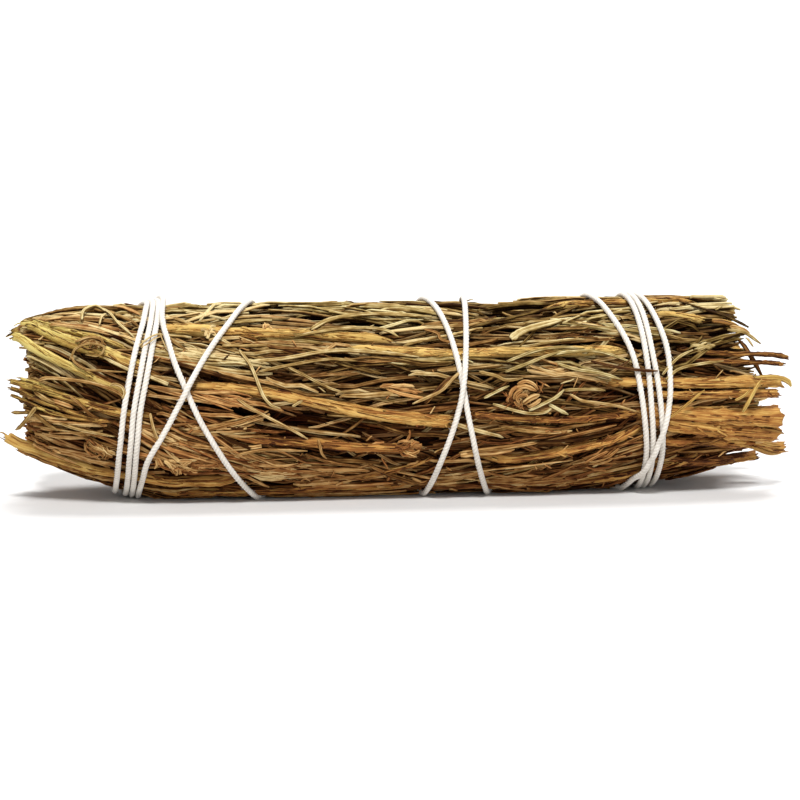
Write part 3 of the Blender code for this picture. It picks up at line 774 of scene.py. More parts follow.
# %% Laying leaves along a sprig
def lay_leaves(draw, name, x, turn, raised, toward, lean, length, tint, warmth):
    """Leaves that start at x and turn and follow the course of the sprig towards its tip."""
    count = len(x)
    end_x = x + toward * length * np.cos(np.radians(lean))
    drift = length * np.sin(np.radians(lean)) * DEGREES_PER_METRE
    end_turn = turn + course_turn(name, end_x) - course_turn(name, x) + drift
    curled = draw.random(count) < CURLED
    bow = draw.normal(0, 1, count) * np.where(curled, 0.15, 0.055) * length * DEGREES_PER_METRE
    middle_x = (x + end_x) / 2
    middle_turn = (turn + end_turn) / 2 + bow
    start_raised = raised - draw.uniform(0.2, 1.3, count) * MM
    middle_raised = raised + draw.uniform(0.1, 0.7, count) * MM
    end_raised = raised + draw.normal(-0.2, 0.45, count) * MM
    return Leaves(
        start=placed(x, turn, start_raised),
        middle=placed(middle_x, middle_turn, middle_raised),
        end=placed(end_x, end_turn, end_raised),
        width=LEAF_WIDTH * draw.lognormal(0, 0.20, count),
        thick=LEAF_THICKNESS * draw.uniform(0.75, 1.2, count),
        roll=draw.normal(0, 0.5, count),
        twist=draw.normal(0, 0.6, count),
        wave=draw.normal(0, 1, count) * np.where(curled, 1.0, 0.42) * MM,
        tint=np.clip(tint, 0, 1),
        warmth=np.clip(warmth, 0, 1),
        broken=draw.random(count) < BROKEN,
    )


# %% Layers of tufts
def grow_layer(draw, index, layer):
    """One layer of tufts over a sprig's share of the skin, as parts.

    The tufts begin past the sprig's stem end, so that its end is as full of leaves as the rest of
    it, and what stands past the end of the bundle is trimmed off.
    """
    sprig = SPRIGS[index]
    toward = math.copysign(1.0, sprig.tip - sprig.stem_end)
    start, stop = sprig.stem_end * MM - toward * STEM_END_LEAVES, sprig.tip * MM - toward * TIP_GAP
    middle_x = np.linspace(min(start, stop), max(start, stop), 30)
    area = np.mean(2 * half_cell(index, middle_x)) / DEGREES_PER_METRE * abs(stop - start)
    tufts = round(layer.cover * area / (LEAF_WIDTH * LEAF_LENGTH) / PER_TUFT)
    tuft_x = start + draw.random(tufts) * (stop - start)
    tuft_turn = course_turn(sprig.name, tuft_x) + draw.uniform(-1.1, 1.1, tufts) * half_cell(index, tuft_x)
    per_tuft = draw.integers(PER_TUFT - 2, PER_TUFT + 3, tufts)
    tuft_lean = draw.normal(0, layer.lean, tufts) + toward * patch_lean(tuft_x, tuft_turn)
    tuft_tint = draw.normal(0.5, 0.19, tufts)
    tuft_warmth = draw.normal(0, 0.17, tufts)
    x = np.repeat(tuft_x, per_tuft)
    count = len(x)
    x = x + draw.normal(0, 2.2 * MM, count)
    turn = np.repeat(tuft_turn, per_tuft) + draw.normal(0, 1.3 * MM, count) * DEGREES_PER_METRE
    crossing = draw.random(count) < CROSSING
    fan = np.where(crossing, CROSSING_FAN, layer.fan)
    lean = np.repeat(tuft_lean, per_tuft) + draw.normal(0, 1, count) * fan
    length = np.clip(LEAF_LENGTH * draw.lognormal(0, 0.25, count), 9 * MM, 36 * MM)
    raised = (layer.raised + np.where(crossing, 0.6, 0.0)) * MM + draw.normal(0, 0.5 * MM, count)
    tint = np.repeat(tuft_tint, per_tuft) + draw.normal(0, 0.15, count)
    # Painted light raises the tint on top and underneath.
    tint += painted_light_at(x, turn)
    warmth = warmth_at(x, turn) + np.repeat(tuft_warmth, per_tuft) + draw.normal(0, 0.11, count)
    batch = lay_leaves(draw, sprig.name, x, turn, raised, toward, lean, length, tint, warmth)
    if layer.open:
        x, turn, _ = np.moveaxis(on_curves(batch, np.linspace(0.05, 0.95, 7)), -1, 0)
        over_stem = on_a_stem(x, turn).any(0) & (draw.random(count) > 0.05)
        over_hollow = in_a_hollow(x, turn).any(0) & (draw.random(count) > 0.10)
        lower = np.maximum(np.where(over_stem, UNDER_STEMS, 0.0), np.where(over_hollow, UNDER_HOLLOWS, 0.0))
        lower = lower[:, None] * (0, 0, 1)
        batch = batch._replace(**{part: getattr(batch, part) - lower for part in ("start", "middle", "end")})
    batch = trimmed(draw, batch)
    return [bent(PLAIN_LEAF, batch)] if layer.plain else bent_leaves(batch)


# %% Crumbs
def crumbs(draw, index):
    """Short bits of broken leaf and bark that lie any way round on the others."""
    sprig = SPRIGS[index]
    low, high = sorted((sprig.stem_end, sprig.tip))
    x = draw.uniform(low + 6, high - 6, CRUMBS) * MM
    turn = course_turn(sprig.name, x) + draw.uniform(-1, 1, CRUMBS) * half_cell(index, x)
    lean = np.radians(draw.normal(0, 34, CRUMBS))
    length = draw.uniform(1.2, 4.0, CRUMBS) * MM
    raised = draw.uniform(0.1, 1.1, CRUMBS) * MM
    end_x = x + length * np.cos(lean)
    end_turn = turn + length * np.sin(lean) * DEGREES_PER_METRE
    start = placed(x, turn, raised)
    end = placed(end_x, end_turn, raised + draw.normal(0, 0.4, CRUMBS) * MM)
    return Leaves(
        start=start, middle=(start + end) / 2 + draw.normal(0, 0.35, (CRUMBS, 1)) * MM * (0, 0, 1), end=end,
        width=draw.uniform(0.45, 1.15, CRUMBS) * MM,
        thick=draw.uniform(0.3, 0.6, CRUMBS) * MM,
        roll=draw.normal(0, 0.7, CRUMBS),
        twist=draw.normal(0, 0.8, CRUMBS),
        wave=draw.normal(0, 0.12, CRUMBS) * MM,
        tint=np.clip(draw.normal(0.58, 0.18, CRUMBS), 0, 1),
        warmth=np.clip(warmth_at(x, turn) + draw.normal(0.2, 0.25, CRUMBS), 0, 1),
        broken=draw.random(CRUMBS) < 0.5,
    )


print(f"{len(LAYERS)} layers of tufts, with {PER_TUFT - 2} to {PER_TUFT + 2} leaves in each tuft")

# %% [markdown]
# ## A woody stem
#
# A stem is round and irregular: its bark is fluted lengthways, it swells at each node where leaves
# grew, and it tears into splinters where it was cut or snapped. The body starts as a circle whose
# cap is extruded ring by ring along the stem's line. Splinters are leaves again, laid along the
# wood and coloured as bark.

# %% Flutes and cracks
STEM_SIDES = 20
NODE_SPACING = 17 * MM
CRACKS_PER_METRE = 110


def fluting(draw, around, along):
    """How much a stem's radius differs from round: a few ridges that wander along it."""
    height = np.zeros(np.broadcast(around, along).shape)
    for ridges, depth in ((2, 0.08), (3, 0.07), (5, 0.06), (8, 0.05)):
        phase = draw.uniform(0, 2 * np.pi)
        wander = draw.uniform(-70, 70)
        fade = 0.6 + 0.4 * np.sin(along * draw.uniform(120, 320) + draw.uniform(0, 6))
        height += depth * fade * np.cos(ridges * around + phase + wander * along)
    return height


def cracks(draw, rings, length):
    """Narrow splits that run along the wood, from 0 where it is whole to 1 in a crack."""
    split = np.zeros((rings, STEM_SIDES))
    for _ in range(round(CRACKS_PER_METRE * length)):
        first = draw.integers(-3, rings - 4)
        reach = draw.integers(6, 22)
        at = np.arange(max(first, 0), min(first + reach, rings))
        spot = np.rint(draw.integers(0, STEM_SIDES) + draw.normal(0, 0.08) * (at - first)).astype(int)
        open_wide = np.sin(np.pi * (at - first + 0.5) / reach) ** 0.7
        split[at, spot % STEM_SIDES] = np.maximum(split[at, spot % STEM_SIDES], open_wide)
    return split


# %% Stem bodies
def bark_warmth(x, turn):
    """Bark is greenish yellow at the top of the left end and golden brown elsewhere."""
    leftward = np.clip((-60 * MM - x) / (45 * MM), 0, 1)
    height = np.cos(np.radians(turn))
    return 1.0 - leftward * np.clip(0.9 + 0.6 * height, 0, 1) - 0.35 * np.clip(height, 0, 1)


def stem_part(draw, line, tone, torn):
    """The body of one stem along its line. Its outline starts on the inner side, out of sight."""
    x, turn, radius, raised = line
    middle = on_bundle(x, turn, raised)
    travelled = travelled_along(middle)
    tangent = unit(np.gradient(middle, axis=0))
    side, up = frames(middle, outward(x, turn))
    around = np.arange(STEM_SIDES) * 2 * np.pi / STEM_SIDES - np.pi
    along = travelled[:, None]
    nodes = np.arange(draw.uniform(4, 12) * MM, travelled[-1], NODE_SPACING)
    swell = sum((0.14 * np.exp(-(((along - node) / (1.2 * MM)) ** 2)) for node in nodes), 0 * along)
    flutes = fluting(draw, around[None, :], along) + draw.normal(0, 0.035, (len(x), STEM_SIDES))
    split = cracks(draw, len(x), travelled[-1])
    size = radius[:, None] * (1 + flutes + swell - 0.24 * split)
    out = side[:, None] * np.sin(around)[None, :, None] + up[:, None] * np.cos(around)[None, :, None]
    rings = middle[:, None] + out * size[..., None]
    for end, is_torn in zip((0, -1), torn):
        if is_torn:
            rings[end] += tangent[end] * draw.normal(0, 0.5 * MM, STEM_SIDES)[:, None]
    rings[..., 2] = np.maximum(rings[..., 2], FLOOR_CLEARANCE)
    points, triangles, ring, spot = extruded(rings, domed=True)
    height = size[ring, spot] * np.cos(around[spot])
    own = np.full(len(ring), draw.random())
    streak = np.stack((radius[ring] * around[spot], travelled[ring], own), axis=-1)
    ones = np.ones(len(ring))
    depth = painted_shade_amount(x[ring], turn[ring], raised[ring] + height)
    # Painted shade: cracks and the valleys between flutes are marked to be coloured darker.
    crease = np.clip(split - 1.4 * flutes - 0.05, 0, 1)[ring, spot]
    warmth = np.clip(bark_warmth(x, turn), 0, 1)[ring]
    return Part(points, triangles, ones * tone, warmth, depth, crease, streak, BARK)


# %% Slivers, flakes and splinters
FIBRE_SPACING = 0.62 * MM
FIBRES_PER_END = 16
FIBRES_PAST_END = 0.9 * MM
FLAKES = 0.2


def fibres(draw, line, tone, torn):
    """Long slivers and short flakes of bark all over a stem, and splinters past its torn ends."""
    x, turn, radius, raised = line
    total = round(abs(x[-1] - x[0]) / FIBRE_SPACING)
    flake = draw.random(total) < FLAKES
    start_x = draw.uniform(x[0], x[-1], total)
    length = np.where(flake, draw.uniform(1.5, 4, total), draw.uniform(5, 17, total)) * MM
    toward = draw.choice((-1.0, 1.0), total)
    for is_torn, end, direction in zip(torn, (x[0], x[-1]), (-1.0, 1.0)):
        if is_torn:
            start_x = np.append(start_x, end - direction * draw.uniform(1.5, 8, FIBRES_PER_END) * MM)
            length = np.append(length, draw.uniform(3.0, 9.0, FIBRES_PER_END) * MM)
            toward = np.append(toward, np.full(FIBRES_PER_END, direction))
            flake = np.append(flake, np.full(FIBRES_PER_END, False))
    total = len(start_x)
    past = draw.normal(0, 1, total) * FIBRES_PAST_END
    low = x[0] + np.where(torn[0], past, 0.0)
    high = x[-1] + np.where(torn[1], past, 0.0)
    end_x = np.clip(start_x + toward * length, low, high)
    around = np.radians(draw.uniform(-110, 110, total))
    swing = draw.normal(0, 1, total) * np.where(flake, 0.5, 0.14)
    lifted = draw.uniform(-0.1, 0.35, total) * flake
    places = []
    for share, lift in ((0.0, -0.10), (0.5, 0.06), (1.0, 0.0)):
        at = start_x + (end_x - start_x) * share
        angle = around + swing * (share - 0.5)
        girth = np.interp(at, x, radius)
        sideways = girth * np.sin(angle) * DEGREES_PER_METRE
        height = np.interp(at, x, raised) + girth * np.cos(angle) + (lift + lifted * share) * MM
        places.append(placed(at, np.interp(at, x, turn) + sideways, height))
    start, through, end = places
    return Leaves(
        start=start, middle=2 * through - (start + end) / 2, end=end,
        width=np.where(flake, draw.uniform(0.6, 1.2, total), draw.uniform(0.25, 0.85, total)) * MM,
        thick=draw.uniform(0.22, 0.5, total) * MM,
        roll=around * 0.9,
        twist=draw.normal(0, 0.3, total),
        wave=draw.normal(0, 0.08, total) * MM,
        tint=np.clip(tone + 0.06 + draw.normal(0, 0.18, total), 0, 1),
        warmth=np.clip(bark_warmth(start_x, np.interp(start_x, x, turn)), 0, 1),
        broken=draw.random(total) < 0.4,
    )


print(f"a stem has {STEM_SIDES} sides and a sliver or flake every {FIBRE_SPACING / MM} mm")

# %% [markdown]
# ## Single strands
#
# Some leaves and twigs are landmarks: long needles that cross the others, curled loops, a dark twig
# lying over the strings, the scales of a dried bud, the claws of torn wood at the right end. Each
# is given by the places it runs through, as x in millimetres, a turn, and how far it is raised in
# millimetres. A smooth curve is drawn through them, and the leaf's cross-section is extruded along
# it, narrowing at both ends.

# %% Landmark strands
Strand = namedtuple("Strand", "sprig look width tint warmth places")
STRANDS = tuple(Strand(*row) for row in (
    # a dark twig and two tan fibres over the strings
    ("front_3", BARK, 0.95, 0.95, 0.5,
     ((50.5, 63, 0.9), (53.9, 66, 1.9), (58, 68.5, 2.5), (61.4, 70, 2.8), (66, 71.5, 2.9),
      (68.7, 72, 2.6))),
    ("front_3", BARK, 0.55, 0.8, 0.5, ((57.5, 68, 1.9), (59.5, 66.5, 2.0), (61.2, 64, 1.7))),
    ("front_1", LEAF, 0.5, 0.86, 0.3,
     ((-73.2, 50, 1.0), (-71.5, 48, 2.6), (-69.4, 45, 2.9), (-67.3, 43, 2.7), (-66.2, 42, 1.8))),
    ("front_1", LEAF, 0.4, 0.84, 0.4,
     ((-72.4, 51, 1.4), (-70.3, 49, 2.7), (-68.6, 46.5, 2.9), (-67, 44.5, 2.4))),
    ("front_1", LEAF, 0.35, 0.84, 0.4, ((-67.2, 43, 2.7), (-66.4, 47, 2.0), (-65.4, 52, 1.3))),
    # long needles that cross the others, left of the middle
    ("front_2", LEAF, 1.0, 0.82, 0.2,
     ((-45.9, 52, 1.2), (-43, 63, 1.8), (-40.3, 78, 1.8), (-38, 84, 1.7), (-35.5, 86, 1.4))),
    ("front_4", LEAF, 0.9, 0.84, 0.2, ((-32.2, 85, 1.6), (-31, 83.5, 2.1), (-29.5, 82, 1.7))),
    ("front_4", LEAF, 0.95, 0.72, 0.4,
     ((-47, 80.5, 1.3), (-44, 85, 1.8), (-38.6, 91, 1.9), (-31.4, 99, 1.9), (-28, 103.5, 1.6))),
    ("front_3", LEAF, 0.85, 0.6, 0.2, ((-33, 63, 1.2), (-28, 69, 1.6), (-22.5, 75, 1.5), (-18, 78, 1.1))),
    ("front_6", LEAF, 0.85, 0.6, 0.6,
     ((-25.2, 104, 1.3), (-24.6, 108, 1.9), (-24.1, 112, 2.0), (-22.6, 116, 1.5))),
    ("front_6", LEAF, 1.0, 0.7, 0.6,
     ((-47, 113, 1.2), (-41, 109.5, 1.7), (-36, 109.5, 1.7), (-28, 111, 1.3))),
    ("front_3", LEAF, 1.05, 0.7, 0.4,
     ((14.5, 67, 1.4), (11.5, 72, 1.8), (8.5, 78, 1.8), (4, 82, 1.6), (0.5, 85, 1.1))),
    ("front_3", LEAF, 0.9, 0.6, 0.4, ((12.6, 70, 1.2), (9.8, 76, 1.6), (6, 80, 1.3))),
    ("front_1", LEAF, 1.7, 0.62, 0.1,
     ((-26, 38, 1.1), (-20.5, 31, 1.6), (-13, 27.5, 1.8), (-3, 27, 1.7), (8, 28.5, 1.1))),
    ("front_1", LEAF, 1.05, 0.66, 0.1,
     ((-30.5, 43, 1.1), (-21, 40, 1.7), (-11, 38.5, 1.7), (-5, 41, 1.6), (-2, 45, 1.1))),
    ("front_2", LEAF, 1.2, 0.74, 0.2,
     ((-44, 59, 1.0), (-34, 58, 1.6), (-21, 54, 1.8), (-8, 55.5, 1.7), (3, 58, 1.0))),
    ("front_2", LEAF, 1.05, 0.52, 0.2, ((-41, 65, 0.9), (-33, 62, 1.4), (-22, 59, 1.6), (-14, 60, 1.1))),
    ("front_1", LEAF, 1.0, 0.45, 0.6, ((5.2, 40, 1.4), (8.6, 44, 1.9), (9.4, 48, 1.7), (13.5, 50, 1.2))),
    ("front_5", BARK, 1.25, 0.8, 0.5, ((4, 85, 0.8), (7.2, 78, 1.6), (10.5, 72, 1.7), (13.5, 70.5, 1.1))),
    # pale green needles, right of the middle, and the leaves that lie round the bud
    ("front_2", LEAF, 1.05, 0.66, 0.0, ((26.4, 68, 1.1), (31, 65, 1.7), (37, 60.5, 1.8), (43.5, 56, 1.3))),
    ("front_2", LEAF, 1.0, 0.68, 0.0, ((27, 62, 1.1), (35, 56.5, 1.7), (42, 54.5, 1.7), (49, 55.5, 1.1))),
    ("front_2", LEAF, 0.95, 0.78, 0.0, ((40, 58, 1.1), (47, 57.5, 1.8), (54, 59, 1.8), (63, 66, 1.0))),
    ("front_3", LEAF, 1.1, 0.7, 0.0, ((41, 64, 1.2), (46, 68, 1.7), (53, 71, 1.6), (59, 75, 1.0))),
    ("front_4", LEAF, 1.1, 0.76, 0.05,
     ((32.6, 90, 1.1), (37.4, 85.5, 1.8), (40.5, 82.2, 1.9), (42.3, 79, 1.6))),
    ("front_4", LEAF, 1.0, 0.62, 0.1,
     ((42.3, 79.3, 1.5), (46, 79.3, 1.8), (51, 79.6, 1.6), (54, 80.5, 0.9))),
    ("front_4", LEAF, 0.95, 0.7, 0.4,
     ((44, 81.5, 1.0), (47.3, 85.5, 1.7), (52, 87.3, 1.8), (58, 90, 1.7), (64.5, 95, 1.0))),
    ("front_4", LEAF, 1.2, 0.72, 0.0, ((38.2, 86.8, 1.0), (40.5, 89.5, 1.5), (43.6, 93, 1.0))),
    ("front_4", LEAF, 1.0, 0.7, 0.15,
     ((22.7, 86, 0.8), (28.8, 89.8, 1.3), (33, 91.5, 1.5), (37, 91, 1.4), (39.3, 88.4, 0.9))),
    ("front_3", LEAF, 0.9, 0.78, 0.0, ((20.2, 82.5, 1.2), (23.8, 79, 1.8), (27.2, 76, 1.4))),
    ("front_3", LEAF, 1.2, 0.64, 0.25,
     ((19.2, 67.6, 0.9), (23.5, 70.3, 1.5), (26.4, 73, 1.7), (31.2, 71.9, 1.0))),
    # the dried bud: scales over its right and its left side, two petals below and a curled one
    ("front_4", LEAF, 1.2, 0.62, 0.8,
     ((29.5, 75.5, 1.4), (31.6, 74, 2.0), (33.8, 75.5, 1.9), (35.2, 78.5, 1.2))),
    ("front_4", LEAF, 1.6, 0.7, 0.75, ((29, 78, 1.6), (31.5, 76.8, 2.3), (34.6, 79.2, 1.8))),
    ("front_4", LEAF, 1.2, 0.56, 0.9, ((27.3, 82.5, 1.1), (27.9, 78.8, 1.8), (29.8, 76.2, 1.9))),
    ("front_4", LEAF, 1.4, 0.66, 0.75, ((28.5, 83.5, 1.4), (29, 80.6, 2.2), (30.6, 78.6, 2.3))),
    ("front_4", LEAF, 1.8, 0.72, 0.6, ((31, 86, 1.3), (32.8, 83.2, 2.3), (35.5, 81.4, 1.7))),
    ("front_4", LEAF, 1.4, 0.68, 0.7, ((32.4, 88, 0.9), (34.3, 86, 1.8), (35.9, 83.6, 1.4))),
    ("front_4", LEAF, 1.0, 0.68, 0.75,
     ((29.9, 85.6, 1.5), (29.2, 83.6, 2.0), (30.1, 81.4, 2.4), (31.7, 81.6, 2.4), (32, 83.2, 2.0))),
    ("front_4", LEAF, 0.8, 0.6, 0.9, ((27, 85.5, 1.0), (26.5, 83.8, 1.5), (27.2, 81.8, 1.6))),
    # torn pieces at the upper right corner
    ("front_1", BARK, 2.0, 0.6, 0.5, ((86.7, 37.5, 0.7), (90, 39.5, 1.1), (93.8, 42.4, 0.6))),
    ("front_2", LEAF, 1.6, 0.72, 0.5, ((91.5, 43, 0.6), (94, 45.5, 1.1), (96.8, 48.7, 0.8))),
    ("front_2", LEAF, 1.1, 0.6, 0.1, ((90.5, 46, 0.8), (95.5, 49.5, 1.2), (99.8, 56, 0.6))),
    ("front_1", LEAF, 2.6, 0.84, 0.1,
     ((28.8, 47.5, 1.2), (32, 43.5, 1.8), (37, 39.5, 1.8), (43.8, 34.5, 1.2))),
    # crossing needles and slivers between the right strings and the end
    ("front_3", LEAF, 0.95, 0.7, 0.1, ((70.2, 74, 1.2), (72.5, 69, 1.7), (75.5, 64, 1.7), (79.5, 60, 1.2))),
    ("front_3", LEAF, 0.95, 0.68, 0.1,
     ((71.0, 77, 1.4), (75, 71.5, 1.7), (81.5, 69.5, 1.7), (88, 68.5, 1.2))),
    ("front_8", BARK, 0.85, 0.35, 0.5,
     ((69.5, 102.5, 1.2), (74, 96.5, 2.4), (78.5, 90, 2.5), (82.0, 85.5, 1.6))),
    ("front_4", BARK, 1.15, 0.1, 0.5,
     ((93.2, 102, 2.2), (94.2, 97, 3.0), (95.4, 92, 3.1), (97, 86.5, 2.7), (98.8, 82, 2.2))),
    ("front_4", BARK, 0.85, 0.25, 0.5, ((90.8, 94, 2.0), (93.2, 91.5, 2.6), (95.2, 88, 2.6))),
    ("under_1", BARK, 0.85, 0.7, 0.5,
     ((72.5, 125, 1.2), (79, 121.5, 1.8), (85, 121, 1.8), (89.5, 119, 1.4))),
    # claws of torn wood at the right end
    ("front_3", BARK, 1.6, 0.15, 0.5,
     ((97, 81, 0.6), (101.9, 80.5, 1.1), (105.3, 81, 1.1), (107.6, 83, 0.8), (108.6, 86.5, 0.4))),
    ("front_4", BARK, 1.1, 0.45, 0.5, ((99, 86.5, 0.9), (103.5, 85, 1.2), (106.2, 87.5, 1.0))),
    ("front_8", BARK, 1.6, 0.35, 0.5,
     ((98, 134, 1.0), (101.5, 140, 1.4), (105, 147.5, 1.4), (107.8, 154, 1.0), (110.0, 156, 0.7))),
    ("front_8", BARK, 0.9, 0.55, 0.5, ((100, 118, 1.0), (104.5, 121, 1.3), (107.5, 126, 0.9))),
    # curled loops near the left end
    ("front_2", LEAF, 0.75, 0.62, 0.3,
     ((-91.5, 61, 0.9), (-90.9, 58, 1.5), (-89.8, 54, 2.0), (-86, 51, 2.4), (-82.4, 53, 2.3),
      (-84, 58.5, 1.9), (-87.4, 58, 1.6))),
    ("front_2", LEAF, 0.8, 0.52, 0.4,
     ((-91.2, 58, 1.2), (-90.2, 64, 1.9), (-87.6, 68, 2.1), (-83.6, 68, 2.0), (-76.7, 67, 1.4))),
    ("front_1", LEAF, 0.9, 0.5, 0.4,
     ((-90, 48, 1.3), (-86, 45, 1.8), (-82.8, 47.5, 1.8), (-83.4, 53, 1.5))),
    ("front_5", LEAF, 1.1, 0.58, 0.5,
     ((-100.1, 77, 1.3), (-97.4, 75, 1.7), (-90.3, 75.5, 1.9), (-83.7, 77, 2.0), (-78.9, 80, 1.8),
      (-76.3, 85, 1.3))),
    ("front_5", LEAF, 0.9, 0.8, 0.3,
     ((-81, 76, 1.6), (-79.6, 75.2, 2.1), (-77.9, 76.5, 2.3), (-77.3, 80, 2.0), (-78, 83, 1.6))),
    ("front_1", LEAF, 0.95, 0.82, 0.1,
     ((-87.8, 26, 1.0), (-87.6, 20, 1.6), (-86.5, 15, 2.0), (-83.7, 10, 2.0), (-81.4, 17, 1.5))),
    ("front_1", LEAF, 0.9, 0.83, 0.1,
     ((-82.6, 9, 1.1), (-80.4, 20, 1.7), (-78.2, 32, 1.7), (-74.1, 43, 1.2))),
    ("front_1", LEAF, 0.75, 0.8, 0.2, ((-81.2, 20, 1.3), (-82.6, 27, 1.9), (-83.3, 34, 1.5))),
    ("front_1", LEAF, 1.2, 0.75, 0.8,
     ((-78.6, 8, 1.1), (-76.8, 13, 1.8), (-74.2, 19, 1.8), (-71.9, 22, 1.2))),
    ("front_7", LEAF, 1.25, 0.62, 0.25,
     ((-100.8, 98, 1.0), (-102.2, 104, 1.6), (-104.4, 115, 1.7), (-106.2, 125, 1.0))),
    ("front_7", LEAF, 1.15, 0.58, 0.2, ((-102.5, 104, 0.7), (-105, 105.5, 1.1), (-107.3, 108, 0.9))),
    ("front_7", LEAF, 1.0, 0.66, 0.3, ((-94.5, 107, 1.0), (-89, 108, 1.6), (-80, 107.5, 1.2))),
    ("front_6", LEAF, 0.95, 0.35, 0.5, ((-92, 86, 0.9), (-89, 91, 1.5), (-86.5, 96, 1.5), (-84, 98, 1.0))),
    ("front_5", LEAF, 0.95, 0.72, 0.4,
     ((-70.5, 90, 0.9), (-69.8, 97, 1.5), (-68.5, 104, 1.5), (-66, 108, 1.0))),
))


# %% Strands from their places
def through(places, per_span=5):
    """A smooth curve through all the places (a Catmull-Rom spline)."""
    places = np.array(places, float)
    padded = np.concatenate((2 * places[:1] - places[1:2], places, 2 * places[-1:] - places[-2:-1]))
    share = np.linspace(0, 1, per_span, endpoint=False)[:, None]
    spans = []
    for before, start, end, after in zip(padded, padded[1:], padded[2:], padded[3:]):
        bend = 2 * before - 5 * start + 4 * end - after
        turn_over = 3 * start - before - 3 * end + after
        spans.append((2 * start + (end - before) * share + bend * share**2 + turn_over * share**3) / 2)
    return np.concatenate(spans + [places[-1:]])


def strand_part(draw, strand):
    """One strand, a leaf or a sliver of bark, as a part."""
    x, turn, raised = (through(strand.places) * (MM, 1, MM)).T
    line = on_bundle(x, turn, raised)
    side, up = frames(line, outward(x, turn))
    share = np.linspace(0, 1, len(line))
    taper = np.interp(share, (0, 0.08, 0.8, 1), (0.6, 1.0, 0.95, 0.35))
    width = strand.width * MM * taper * (1 + draw.normal(0, 0.05, len(line)))
    thick = np.minimum(0.85 * width, LEAF_THICKNESS)
    across, height, crease = np.array(LEAF_SECTION)
    rings = (line[:, None] + side[:, None] * (across * width[:, None])[..., None]
             + up[:, None] * (height * thick[:, None])[..., None])
    points, triangles, ring, spot = extruded(rings, domed=True)
    own = np.full(len(ring), draw.random())
    streak = np.stack((across[spot] * width[ring], travelled_along(line)[ring], own), axis=-1)
    depth = painted_shade_amount(x[ring], turn[ring], raised[ring] + height[spot] * thick[ring])
    ones = np.ones(len(ring))
    tint, warmth = ones * strand.tint, ones * strand.warmth
    return Part(points, triangles, tint, warmth, depth, crease[spot], streak, strand.look)


print(f"{len(STRANDS)} landmark strands")

# %% [markdown]
# ## Clumps
#
# A few small clumps stand out too: the inside of the dried bud in its dark hollow, crumpled tan
# leaves that were pressed together, and fans of orange needles. Each is a handful of leaves from
# one spot, with its own direction, spread and curl.

